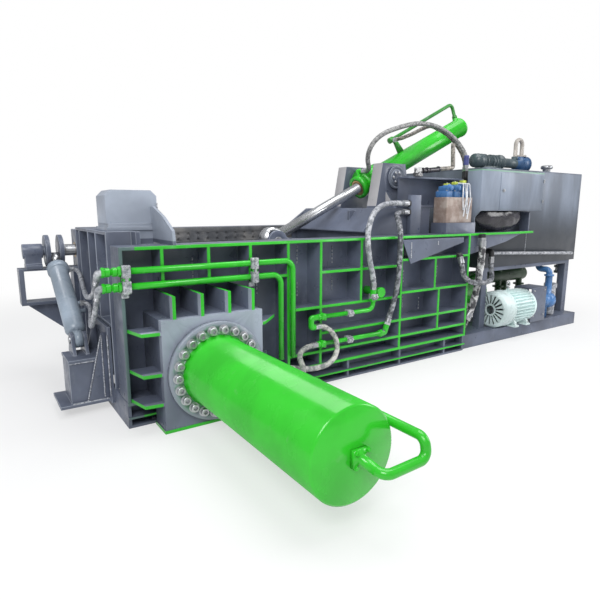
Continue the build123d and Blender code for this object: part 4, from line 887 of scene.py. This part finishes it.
def dress_node(name, finish_name, edge):
    """Gives a CAD node its material, rounded edges and smooth round faces; the worn nodes' rounded edges take
    a paler paint, for wear and as a painted highlight.
    """
    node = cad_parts[name]
    node.data.materials.clear()
    node.data.materials.append(finish(finish_name))
    if name in WORN_HIGHLIT_NODES:
        node.data.materials.append(finish("worn_highlit_edge"))
    merge = node.modifiers.new("merge", "WELD")
    merge.merge_threshold = 0.00005
    flat = node.modifiers.new("flat", "DECIMATE")
    flat.decimate_type = "DISSOLVE"
    flat.angle_limit = math.radians(0.5)
    if name not in ROUND_NODES:
        round_edge = node.modifiers.new("round_edge", "BEVEL")
        round_edge.width = edge
        round_edge.segments = 2
        round_edge.limit_method = "ANGLE"
        round_edge.angle_limit = math.radians(40)
        round_edge.harden_normals = True
        round_edge.use_clamp_overlap = True
        if name in WORN_HIGHLIT_NODES:
            round_edge.material = 1
    for face in node.data.polygons:
        face.use_smooth = True


class BALER_OT_dress_nodes(bpy.types.Operator):
    """Gives every solid of the frame its finish and its rounded edges"""

    bl_idname = "baler.dress_nodes"
    bl_label = "Dress the frame's solids"

    def execute(self, context):
        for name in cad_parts:
            dress_node(name, NODE_FINISH[name], sizes().edge)
        return {"FINISHED"}


class BALER_OT_flange_bolts(bpy.types.Operator):
    """Sets the socket head bolts round the two big flanges"""

    bl_idname = "baler.flange_bolts"
    bl_label = "Add the flange bolts"

    def execute(self, context):
        places = on_circle(22, 0.315, (SIDE_X, MOUNT_FRONT - FLANGE, SIDE_Z), X, Z)
        heads = copies(socket_head(sizes().side_head, 0.036, (0, -1, 0)), places)
        side = settle(heads, "side_flange_bolts", "zinc")
        places = on_circle(16, 0.292, (MAIN_SEAT, 0, MAIN_Z), Y, Z)
        heads = copies(socket_head(sizes().main_head, 0.036, (1, 0, 0)), places)
        settle(heads, "main_flange_bolts", "zinc")
        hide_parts("flange_bolts")
        return {"FINISHED"}


class BALER_OT_weld_beads(bpy.types.Operator):
    """Runs the weld beads along the frame's plates"""

    bl_idname = "baler.weld_beads"
    bl_label = "Add the weld beads"

    def execute(self, context):
        skin, front = NEAR_SKIN - 0.002, NEAR - 0.013
        lines = []
        for x, low, high in ((-1.28, 1.06, 1.22), (-0.70, 0.88, 1.00), (-0.28, 1.12, 1.28),
                             (0.12, 1.10, 1.26), (0.60, 1.10, 1.24), (1.08, 0.84, 0.98),
                             (1.60, 0.86, 1.00), (1.08, 0.56, 0.70), (1.33, 0.52, 0.66),
                             (1.62, 0.56, 0.68), (0.12, 0.84, 0.98), (-0.28, 0.82, 0.94)):
            while low < high:
                lines.append(((x, skin, low), (x, skin, low + STITCH)))
                low += STITCH_PITCH
        brace = LEFT + 0.446
        lines += [((brace, y, 1.40), (brace, y, 1.66)) for y in (NEAR + 0.498, NEAR + 0.802)]
        lines += [((x, front, 1.28), (x, front, low)) for x, low in ((0.956, 1.12), (1.35, 1.24))]
        weld_line("frame_welds", lines, sizes().weld)
        back, corner, gusset = LEFT - 0.028, LEFT - 0.060, NEAR + 0.474
        lines = [((back, y, 0.14), (back, y, 0.64)) for y in (NEAR + 0.41, NEAR + 0.86)]
        lines += [((LEFT - 0.30, y, z), (LEFT - 0.03, y, z))
                  for y, z in ((NEAR + 0.476, 0.102), (NEAR + 0.494, 0.424))]
        lines += [((corner, gusset, 0.12), (corner, gusset, 0.62)),
                  ((LEFT - 0.19, gusset, 0.108), (LEFT - 0.062, gusset, 0.63))]
        weld_line("bracket_welds", lines, sizes().weld)
        return {"FINISHED"}


class BALER_OT_pipe_clamps(bpy.types.Operator):
    """Bolts the clamp halves over the wall pipes and the ram pipes"""

    bl_idname = "baler.pipe_clamps"
    bl_label = "Add the pipe clamps"

    def execute(self, context):
        halves, places = [], []
        front = PIPE_Y - 0.039
        for x in (LEFT + 0.027, LEFT + 1.032):
            for z in WALL_PIPES:
                halves.append(slab(x, 0.029, front - 0.014, front + 0.030, z - 0.045, z + 0.045, 0.007, 3))
                places += [(x, front - 0.013, z + rise) for rise in (-0.034, 0.034)]
            places.append((x, front - 0.001, 1.125))
            halves.append(slab(x, 0.026, NEAR - 0.012, NEAR + 0.01, 0.985, 1.03))
        for x, z in ((RAM_X, 0.78), (0.140, RAM_HIGH), (0.140, RAM_LOW)):
            halves.append(slab(x, 0.030, PIPE_Y - 0.045, PIPE_Y + 0.030, z - 0.030, z + 0.030, 0.008, 3))
            places += [(x + side, PIPE_Y - 0.044, z) for side in (-0.018, 0.018)]
        settle(joined(halves), "clamp_halves", "hose_pale")
        bolts("clamp_bolts", 0.011, 0.013, (0, -1, 0), places)
        return {"FINISHED"}


class BALER_OT_pipe_nuts(bpy.types.Operator):
    """Screws the union nuts onto the ends of the rigid pipes"""

    bl_idname = "baler.pipe_nuts"
    bl_label = "Add the pipe nuts"

    def execute(self, context):
        nuts = [collar(0.031, 0.036, 0.004, 0.024, (x, PIPE_Y, z), segments=6)
                for z in WALL_PIPES for x in (LEFT - 0.134, LEFT - 0.026)]
        nuts += [collar(0.033, 0.038, 0.005, 0.031, (LEFT + x, RAM_Y, z), segments=6)
                 for x, z in ((2.424, RAM_LOW), (1.700, RAM_HIGH), (1.700, RAM_LOW))]
        nuts.append(collar(0.034, 0.038, 0.005, 0.029, (RAM_X, RAM_Y, 0.735), (0, 0, 1), 6))
        settle(joined(nuts), "union_nuts", "green")
        return {"FINISHED"}


class BALER_OT_solenoid_valves(bpy.types.Operator):
    """Builds the three solenoid valves on the manifold, with their conduits"""

    bl_idname = "baler.solenoid_valves"
    bl_label = "Add the solenoid valves"

    def execute(self, context):
        base = 1.735
        blue, dark, yellow, screws = [], [], [], []
        for step in range(3):
            x = RIGHT - 0.290 + 0.130 * step
            top = base + 0.145 + 0.020 * step
            blue.append(slab(x, 0.048, NEAR + 0.082, NEAR + 0.238, base, base + 0.064))
            blue.append(turned([(0, 0.030), (0.004, 0.034), (0.050, 0.034), (0.052, 0.040), (0.120, 0.040),
                                (0.124, 0.030), (0.150, 0.026), (0.154, 0.020)],
                               (x, NEAR + 0.205, base + 0.098), (0, -1, 0), 28))
            blue.append(slab(x, 0.036, NEAR + 0.104, NEAR + 0.216, base + 0.062, top - 0.030))
            yellow.append(slab(x, 0.026, NEAR + 0.100, NEAR + 0.156, top - 0.034, top, 0.005))
            dark.append(slab(x, 0.026, NEAR + 0.160, NEAR + 0.214, top - 0.034, top - 0.004, 0.005))
            screws += [(x + side, NEAR + depth, base + 0.064)
                       for side in (-0.034, 0.034) for depth in (0.098, 0.222)]
            screws.append((x, NEAR + 0.128, top))
        valves = settle(joined(blue), "solenoid_valves", "pump")
        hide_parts("valve_coils")
        settle(joined(yellow), "valve_connectors", "connector")
        settle(joined(dark), "valve_plugs", "black")
        bolts("valve_screws", 0.009, 0.010, (0, 0, 1), screws, washer=False)
        strips = []
        for x, sway, drop in ((1.772, -0.014, 1.60), (1.806, 0.012, 1.53), (1.838, -0.010, 1.56),
                              (1.872, 0.016, 1.50)):
            strips.append(pipe([(x - 0.02, NEAR + 0.098, 1.885), (x, NEAR + 0.042, 1.880),
                                (x + sway, NEAR + 0.030, 1.72), (x - sway, NEAR + 0.040, drop)],
                               0.0075, 0.035))
        settle(joined(strips), "valve_conduits", "white_strip", smooth=ROUND_ANGLE)
        return {"FINISHED"}


class BALER_OT_motor_fittings(bpy.types.Operator):
    """Adds the motor's terminal box, lifting eye, rims and bolts"""

    bl_idname = "baler.motor_fittings"
    bl_label = "Add the motor's fittings"

    def execute(self, context):
        box = block((MOTOR_LEFT + 0.325, MOTOR_Y + 0.152, MOTOR_Z - 0.035),
                    (MOTOR_LEFT + 0.505, MOTOR_Y + 0.300, MOTOR_Z + 0.095), 0.010, 3)
        lid = block((MOTOR_LEFT + 0.318, MOTOR_Y + 0.292, MOTOR_Z - 0.042),
                    (MOTOR_LEFT + 0.512, MOTOR_Y + 0.312, MOTOR_Z + 0.102), 0.006)
        settle(joined([box, lid]), "terminal_box", "motor")
        eye_x = MOTOR_LEFT + 0.340
        deselect()
        bpy.ops.mesh.primitive_torus_add(location=(eye_x, MOTOR_Y, MOTOR_Z + 0.292),
                                         rotation=(math.pi / 2, 0, 0), major_segments=28, minor_segments=10,
                                         major_radius=0.032, minor_radius=0.009)
        eye = bpy.context.object
        foot = turned([(0, 0.026), (0.008, 0.026), (0.012, 0.013), (0.022, 0.012)],
                      (eye_x, MOTOR_Y, MOTOR_Z + 0.243))
        settle(joined([eye, foot]), "lifting_eye", "zinc")
        places = [(MOTOR_LEFT + x, MOTOR_Y + side, 0.187) for x in (0.300, 0.540) for side in (-0.165, 0.165)]
        bolts("motor_foot_bolts", 0.017, 0.020, (0, 0, 1), places)
        rim = turned([(0, 0.198), (0.010, 0.206), (0.022, 0.206), (0.030, 0.198)],
                     (MOTOR_LEFT + 0.655, MOTOR_Y, MOTOR_Z), (1, 0, 0), 48)
        band = collar(0.226, 0.2285, 0.004, 0.018, (MOTOR_LEFT + 0.196, MOTOR_Y, MOTOR_Z), segments=64)
        settle(joined([rim, band]), "motor_rims", "motor")
        guard = MOTOR_LEFT + 0.675
        places = [(guard + x, MOTOR_Y - 0.131, z) for z in (0.24, 0.57) for x in (0.05, 0.28)]
        bolts("guard_bolts", 0.010, 0.010, (0, -1, 0), places)
        return {"FINISHED"}


class BALER_OT_tank_fittings(bpy.types.Operator):
    """Adds the tank's hatch, seam and wrapped pipe"""

    bl_idname = "baler.tank_fittings"
    bl_label = "Add the tank's fittings"

    def execute(self, context):
        hatch_x, hatch_y = TANK_LEFT + 0.55, 0.45
        hatch = turned([(0, 0.210), (0.012, 0.210), (0.016, 0.204), (0.016, 0.168), (0.024, 0.160)],
                       (hatch_x, hatch_y, TANK_TOP), segments=48)
        settle(hatch, "tank_hatch", "tank")
        bolts("hatch_bolts", 0.010, 0.010, (0, 0, 1),
              on_circle(12, 0.187, (hatch_x, hatch_y, TANK_TOP + 0.016), X, Y))
        seam_x, seam_y = CABINET_RIGHT + 0.012, TANK_NEAR - 0.001
        weld_line("tank_seam", [((seam_x, seam_y, 1.05), (seam_x, seam_y, 2.07))], 0.005)
        wrapped = pipe([(2.470, -0.790, 1.085), (2.560, -0.776, 1.085), (4.320, -0.776, 1.005),
                        (4.330, -0.600, 0.985), (4.330, -0.560, 0.700)], 0.020, 0.07)
        settle(wrapped, "tank_front_pipe", "hose_pale", smooth=ROUND_ANGLE)
        ends = [collar(0.030, 0.034, 0.006, 0.036, (4.330, -0.560, z), (0, 0, 1), 6) for z in (0.70, 0.78)]
        settle(joined(ends), "tank_pipe_nuts", "steel")
        return {"FINISHED"}


class BALER_OT_tank_top_row(bpy.types.Operator):
    """Adds the rings and bolts of the circulation pump on the tank"""

    bl_idname = "baler.tank_top_row"
    bl_label = "Add the pump's rings"

    def execute(self, context):
        y, z = NEAR + 0.560, TANK_TOP + 0.118
        rings = [collar(0.084, 0.0885, 0.003, 0.015, (TANK_LEFT + x, y, z), segments=40)
                 for x in (0.300, 0.360, 0.420, 0.540, 0.600, 0.660)]
        rings += [collar(0.098, 0.106, 0.003, 0.021, (TANK_LEFT + x, y, z), segments=40)
                  for x in (1.160, 1.300)]
        settle(joined(rings), "pump_rings", "top_pump")
        places = []
        for x in (0.762, 1.321):
            places += on_circle(6, 0.082, (TANK_LEFT + x, y, z), Y, Z, 0.5)
        bolts("pump_bolts", 0.010, 0.012, (1, 0, 0), places)
        return {"FINISHED"}


class BALER_OT_cabinet_fittings(bpy.types.Operator):
    """Adds the control cabinet's door, hinges and lock"""

    bl_idname = "baler.cabinet_fittings"
    bl_label = "Add the cabinet's fittings"

    def execute(self, context):
        door = block((CABINET_LEFT + 0.345, NEAR - 0.005, CABINET_LOW + 0.012),
                     (CABINET_RIGHT - 0.012, NEAR + 0.004, CABINET_HIGH - 0.030), 0.002)
        settle(door, "cabinet_door", "cabinet")
        hinges = [collar(0.008, 0.010, 0.002, 0.042, (CABINET_RIGHT - 0.008, NEAR - 0.008, z), (0, 0, 1), 16)
                  for z in (CABINET_LOW + 0.09, CABINET_HIGH - 0.12)]
        hinges.append(turned([(0, 0.020), (0.006, 0.020), (0.010, 0.014), (0.020, 0.012)],
                             (CABINET_LEFT + 0.40, NEAR - 0.004, 1.82), (0, -1, 0), 24))
        settle(joined(hinges), "cabinet_hinges", "steel")
        return {"FINISHED"}


class BALER_OT_cable_bundle(bpy.types.Operator):
    """Hangs the film-wrapped bundle of cables between the cabinet and the deck"""

    bl_idname = "baler.cable_bundle"
    bl_label = "Add the wrapped bundle"

    def execute(self, context):
        deselect()
        bpy.ops.mesh.primitive_uv_sphere_add(segments=96, ring_count=48, radius=1,
                                             location=(2.52, -0.80, 1.512), scale=(0.445, 0.095, 0.155))
        bundle = bpy.context.object
        bpy.ops.object.transform_apply(location=True, rotation=True, scale=True)
        for vertex in bundle.data.vertices:
            vertex.co.z = max(min(vertex.co.z, CABINET_LOW - 0.004), WALL_TOP + 0.008)
        crumple(bundle, "bundle_folds", 0.19, 1, 0.034, 0.60)
        settle(bundle, "cable_bundle", "black_film", smooth=ROUND_ANGLE)
        return {"FINISHED"}


class BALER_OT_wall_fittings(bpy.types.Operator):
    """Adds the round plug, the brace plate, the hose block and the suction elbow"""

    bl_idname = "baler.wall_fittings"
    bl_label = "Add the near wall's fittings"

    def execute(self, context):
        plug = turned([(0, 0.042), (0.200, 0.042), (0.200, 0.052), (0.226, 0.052), (0.232, 0.046)],
                      (0.562, NEAR_SKIN, 0.804), (0, -1, 0), 40)
        settle(plug, "wall_plug", "green")
        throat = RIGHT - 1.062
        outline = [(throat + x, NEAR, z)
                   for x, z in ((-0.002, 1.307), (0.125, 1.061), (0.931, 1.254), (0.931, 1.307))]
        settle(plate(outline, (0, -0.012, 0)), "wall_brace", "slate")
        hose_block = block((1.665, NEAR - 0.014, 1.070), (1.735, NEAR + 0.002, 1.140))
        nut = turned([(0, 0.036), (0.030, 0.036), (0.036, 0.032)], (1.700, NEAR - 0.012, 1.115),
                     (0, -0.75, -0.66), 6)
        settle(joined([hose_block, nut]), "wall_hose_block", "black")
        flange = block((RIGHT - 0.001, NEAR + 0.060, SUCTION_Z - 0.040),
                       (RIGHT + 0.010, NEAR + 0.140, SUCTION_Z + 0.040))
        elbow = pipe([(RIGHT + 0.005, NEAR + 0.100, SUCTION_Z), (RIGHT + 0.075, NEAR + 0.100, SUCTION_Z),
                      (RIGHT + 0.120, NEAR + 0.095, SUCTION_Z + 0.070)], 0.036, 0.045)
        settle(joined([flange, elbow]), "wall_suction_elbow", "black")
        return {"FINISHED"}


class BALER_OT_pipe_ends(bpy.types.Operator):
    """Adds the bends, collars and bosses at which the hoses start"""

    bl_idname = "baler.pipe_ends"
    bl_label = "Add the pipe ends"

    def execute(self, context):
        bends, collars = [], []
        bend_x = LEFT - 0.155
        for z in WALL_PIPES:
            bends.append(pipe([(bend_x, PIPE_Y + 0.044, z - 0.050), (bend_x, PIPE_Y, z),
                               (LEFT - 0.110, PIPE_Y, z)], 0.0235, 0.038))
            collars += [collar(0.028, 0.032, 0.003, 0.034, (x, PIPE_Y, z))
                        for x in (LEFT - 0.110, LEFT - 0.062)]
        settle(joined(bends), "pipe_end_bends", "hose_pale", smooth=ROUND_ANGLE)
        collars.append(collar(0.027, 0.031, 0.004, 0.070, (RAM_X, RAM_Y, 0.780), (0, 0, 1)))
        for radius, bend, route in (
                (0.0265, 0.034, ((1.672, RAM_HIGH), (1.605, RAM_HIGH), (1.605, 0.570), (1.646, 0.570))),
                (0.0285, 0.030, ((2.436, RAM_LOW), (2.490, RAM_LOW), (2.520, 0.480)))):
            collars.append(pipe([(LEFT + x, RAM_Y, z) for x, z in route], radius, bend))
        collars.append(turned([(0, 0.030), (0.003, 0.032), (0.042, 0.032), (0.046, 0.029)],
                              (SIDE_X + 0.244, MOUNT_FRONT - 0.170, SIDE_Z), (1, 0, 0), 32))
        settle(joined(collars), "pipe_end_collars", "green")
        boss = turned([(0, 0.020), (0.017, 0.020), (0.020, 0.017)], (-2.007, 0.1811, 0.7919), (1, 0, 0), 24)
        settle(boss, "door_cylinder_port", "pale", "tip_barrel")
        return {"FINISHED"}


class BALER_OT_valve_piping(bpy.types.Operator):
    """Adds the hose stubs, the vent on the valve stand, the suction pipes and the filter"""

    bl_idname = "baler.valve_piping"
    bl_label = "Add the valve piping"

    def execute(self, context):
        stubs = [turned([(0, 0.036), (0.018, 0.036), (0.022, 0.031)], (RIGHT - 0.747, NEAR + 0.226, z),
                        (-1, 0, 0), 6) for z in STAND_PORTS]
        stubs.append(turned([(0, 0.030), (0.006, 0.044), (0.040, 0.044), (0.046, 0.040)],
                            (RIGHT + 0.165, NEAR - 0.023, WALL_TOP - 0.010), (0, -0.05, -1), 6))
        for back, y, radius in ((0.155, NEAR + 0.362, 0.029), (0.080, NEAR + 0.442, 0.024)):
            stubs.append(pipe([(TANK_LEFT + 0.005, y, 1.960), (TANK_LEFT - back, y, 1.960),
                               (TANK_LEFT - back, y, 2.052)], radius, 0.045))
        loop_x, loop_y = TANK_LEFT + 0.105, TANK_NEAR - 0.068
        stubs.append(pipe([(loop_x, TANK_NEAR + 0.005, 1.110), (loop_x, loop_y, 1.110),
                           (loop_x, loop_y, 1.045)], 0.031, 0.040))
        settle(joined(stubs), "hose_stubs", "black")
        vent_x, vent_y, slope = RIGHT - 0.612, NEAR + 0.250, (1, 0, 0.106)
        cap = turned([(0, 0.050), (0.034, 0.050), (0.040, 0.044), (0.048, 0.040), (0.088, 0.040),
                      (0.095, 0.034)], (vent_x, vent_y, 1.949), segments=32)
        top = pipe([(RIGHT - 0.330, vent_y, 2.034), (RIGHT - 0.060, vent_y, 2.062),
                    (RIGHT - 0.078, vent_y, 2.325)], 0.023, 0.060)
        level = turned([(0, 0.022), (0.150, 0.022), (0.153, 0.027), (0.300, 0.027)],
                       (vent_x + 0.015, vent_y, 2.003), slope, 24)
        rings = [collar(0.026, 0.031, 0.003, 0.023, (vent_x + x, vent_y, 2.005 + x * slope[Z]), slope, 24)
                 for x in (0.06, 0.12, 0.30)]
        settle(top, "vent_pipe", "hose_brown")
        settle(joined([level, *rings]), "vent_elbow", "black_film")
        settle(cap, "vent_cap", "hose_foil")
        # The suction pipes and the long drum are near black: partly their own dark green, partly painted
        # shade, filling the dark gap behind the motor.
        drops = []
        for x, y in ((1.10, 0.06), (1.40, -0.02), (1.66, 0.06), (1.92, -0.02)):
            x += TANK_LEFT
            drops.append(pipe([(x, y, 0.915), (x, y, 0.300), (x - 0.240, y, 0.300)], 0.045, 0.09))
            drops += [collar(0.050, 0.078, 0.003, 0.027, (x, y, z), (0, 0, 1)) for z in (0.470, 0.730)]
        drops.append(collar(0.094, 0.102, 0.004, 1.234, (TANK_LEFT + 0.80, 0.02, 0.640), segments=40))
        settle(joined(drops), "suction_pipes", "green_dark_and_shade")
        body = turned([(0, 0.062), (0.010, 0.070), (0.370, 0.070), (0.378, 0.066), (0.380, 0.082),
                       (0.386, 0.084), (0.434, 0.084), (0.440, 0.070)],
                      (MOTOR_LEFT + 1.385, MOTOR_Y + 0.040, 0.165), segments=40)
        settle(body, "filter", "hose_pale")
        return {"FINISHED"}


class BALER_OT_bracket_gussets(bpy.types.Operator):
    """Adds the gussets beside the door cylinder's bracket box"""

    bl_idname = "baler.bracket_gussets"
    bl_label = "Add the bracket's gussets"

    def execute(self, context):
        gussets = []
        for y in (NEAR + 0.475, NEAR + 0.800):
            outline = [(LEFT + x, y, z)
                       for x, z in ((-0.190, 0.100), (-0.025, 0.100), (-0.025, 0.645), (-0.060, 0.645))]
            gussets.append(plate(outline, (0, 0.025, 0)))
        settle(joined(gussets), "bracket_gussets", "slate")
        return {"FINISHED"}


class BALER_OT_pivot_bolts(bpy.types.Operator):
    """Adds the bolts of the trunnion cap and of the cap port's flange"""

    bl_idname = "baler.pivot_bolts"
    bl_label = "Add the pivots' bolts"

    def execute(self, context):
        cap_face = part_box("trunnion_caps")[0].y
        places = on_circle(6, 0.055, (PIVOT_X, cap_face, PIVOT_Z), X, Z)
        bolts("trunnion_cap_bolts", 0.012, 0.010, (0, -1, 0), places, "steel")
        port_x, port_z = SIDE_X + 0.028, 0.408
        places = [(port_x + dx, SIDE_END - 0.034, port_z + dz)
                  for dx in (-0.038, 0.038) for dz in (-0.038, 0.038)]
        bolts("cap_port_bolts", 0.011, 0.012, (0, -1, 0), places, "green")
        return {"FINISHED"}


# Stage: floor, lights and camera

CAMERA_PLACE = (-2.7535, -4.4636, 1.600)
CAMERA_TURN = 33.7
CAMERA_DOWN = 10.3
CAMERA_LENS = 29.73


def pale_floor():
    """A pale floor that keeps the shadow near the machine and fades to white further out."""
    made = Finish("stage_floor")
    made.set(Base_Color=(0.80, 0.80, 0.80, 1.0), Roughness=0.9)
    white = made.node("ShaderNodeEmission")
    dial(white, Color=(1, 1, 1, 1))
    rays = made.node("ShaderNodeLightPath")
    seen = made.sum("MAXIMUM", rays.outputs["Is Camera Ray"], rays.outputs["Is Glossy Ray"])
    seen = made.sum("MAXIMUM", seen, rays.outputs["Is Transmission Ray"])
    length = made.node("ShaderNodeVectorMath", operation="LENGTH")
    made.link(made.place.outputs["Object"], length.inputs[0])
    far_out = made.between(length.outputs["Value"], 3.2, 7.5, 0.55, 1.0)
    blend = made.node("ShaderNodeMixShader")
    made.link(made.sum("MULTIPLY", seen, far_out), blend.inputs["Fac"])
    made.link(made.shader.outputs["BSDF"], blend.inputs[1])
    made.link(white.outputs["Emission"], blend.inputs[2])
    made.link(blend.outputs["Shader"], made.tree.nodes["Material Output"].inputs["Surface"])
    return made.material


def soft_light(name, place, target, power, size):
    bpy.ops.object.light_add(type="AREA", location=place)
    lamp = bpy.context.object
    lamp.name = name
    lamp.data.energy = power
    lamp.data.size = size
    lamp.rotation_euler = (Vector(target) - Vector(place)).to_track_quat("-Z", "Y").to_euler()


class BALER_OT_stage(bpy.types.Operator):
    """Adds the floor, the studio lights and the camera at the photograph's angle"""

    bl_idname = "baler.stage"
    bl_label = "Add the stage"

    def execute(self, context):
        deselect()
        bpy.ops.mesh.primitive_plane_add(size=60, location=(0, 0, -0.0005))
        floor = context.object
        floor.name = "floor"
        floor.data.materials.append(pale_floor())
        world = context.scene.world or bpy.data.worlds.new("studio")
        context.scene.world = world
        world.use_nodes = True
        tree = world.node_tree
        ground = tree.nodes["Background"]
        dial(ground, Color=(0.94, 0.96, 1.0, 1), Strength=0.50)
        white = tree.nodes.new("ShaderNodeBackground")
        dial(white, Color=(1, 1, 1, 1))
        rays = tree.nodes.new("ShaderNodeLightPath")
        mix = tree.nodes.new("ShaderNodeMixShader")
        tree.links.new(rays.outputs["Is Camera Ray"], mix.inputs["Fac"])
        tree.links.new(ground.outputs["Background"], mix.inputs[1])
        tree.links.new(white.outputs["Background"], mix.inputs[2])
        tree.links.new(mix.outputs["Shader"], tree.nodes["World Output"].inputs["Surface"])
        middle = (0.2, -0.6, 0.7)
        soft_light("key_light", (-5.5, -6.5, 6.5), middle, 470, 4.0)
        soft_light("top_light", (0.5, -1.5, 7.5), middle, 330, 5.0)
        soft_light("right_light", (7.0, -5.0, 4.0), (3.0, 0, 0.9), 200, 3.5)
        bpy.ops.object.camera_add(location=CAMERA_PLACE)
        camera = context.object
        camera.data.lens = CAMERA_LENS
        camera.data.sensor_width = 36
        turn, down = math.radians(CAMERA_TURN), math.radians(CAMERA_DOWN)
        aim = Vector((math.sin(turn) * math.cos(down), math.cos(turn) * math.cos(down), -math.sin(down)))
        camera.rotation_euler = aim.to_track_quat("-Z", "Y").to_euler()
        context.scene.camera = camera
        context.scene.view_settings.view_transform = "Standard"
        return {"FINISHED"}


class BALER_PT_sidebar(bpy.types.Panel):
    """Lists the baler's steps, sizes and colours"""

    bl_idname = "BALER_PT_sidebar"
    bl_label = "Baler"
    bl_space_type = "VIEW_3D"
    bl_region_type = "UI"
    bl_category = "Baler"

    def draw(self, context):
        for step in STEPS:
            self.layout.operator(step.bl_idname)
        for group in (context.scene.baler_paints, context.scene.baler_sizes):
            for key in group.__annotations__:
                self.layout.prop(group, key)


STEPS = (BALER_OT_stage, BALER_OT_hoses, BALER_OT_dress_nodes, BALER_OT_flange_bolts, BALER_OT_weld_beads,
         BALER_OT_pipe_clamps, BALER_OT_pipe_nuts, BALER_OT_solenoid_valves, BALER_OT_motor_fittings,
         BALER_OT_tank_fittings, BALER_OT_tank_top_row, BALER_OT_cabinet_fittings, BALER_OT_cable_bundle,
         BALER_OT_wall_fittings, BALER_OT_pipe_ends, BALER_OT_valve_piping, BALER_OT_bracket_gussets,
         BALER_OT_pivot_bolts)
CLASSES = (BalerPaints, BalerSizes, *STEPS, BALER_PT_sidebar)


def register():
    for item in CLASSES:
        bpy.utils.register_class(item)
    bpy.types.Scene.baler_paints = PointerProperty(type=BalerPaints)
    bpy.types.Scene.baler_sizes = PointerProperty(type=BalerSizes)


def unregister():
    del bpy.types.Scene.baler_sizes
    del bpy.types.Scene.baler_paints
    for item in reversed(CLASSES):
        bpy.utils.unregister_class(item)


def main():
    register()
    bpy.ops.baler.stage()
    bpy.ops.baler.hoses()
    bpy.ops.baler.dress_nodes()
    bpy.ops.baler.flange_bolts()
    bpy.ops.baler.weld_beads()
    bpy.ops.baler.pipe_clamps()
    bpy.ops.baler.pipe_nuts()
    bpy.ops.baler.solenoid_valves()
    bpy.ops.baler.motor_fittings()
    bpy.ops.baler.tank_fittings()
    bpy.ops.baler.tank_top_row()
    bpy.ops.baler.cabinet_fittings()
    bpy.ops.baler.cable_bundle()
    bpy.ops.baler.wall_fittings()
    bpy.ops.baler.pipe_ends()
    bpy.ops.baler.valve_piping()
    bpy.ops.baler.bracket_gussets()
    bpy.ops.baler.pivot_bolts()


if __name__ == "__main__":
    main()
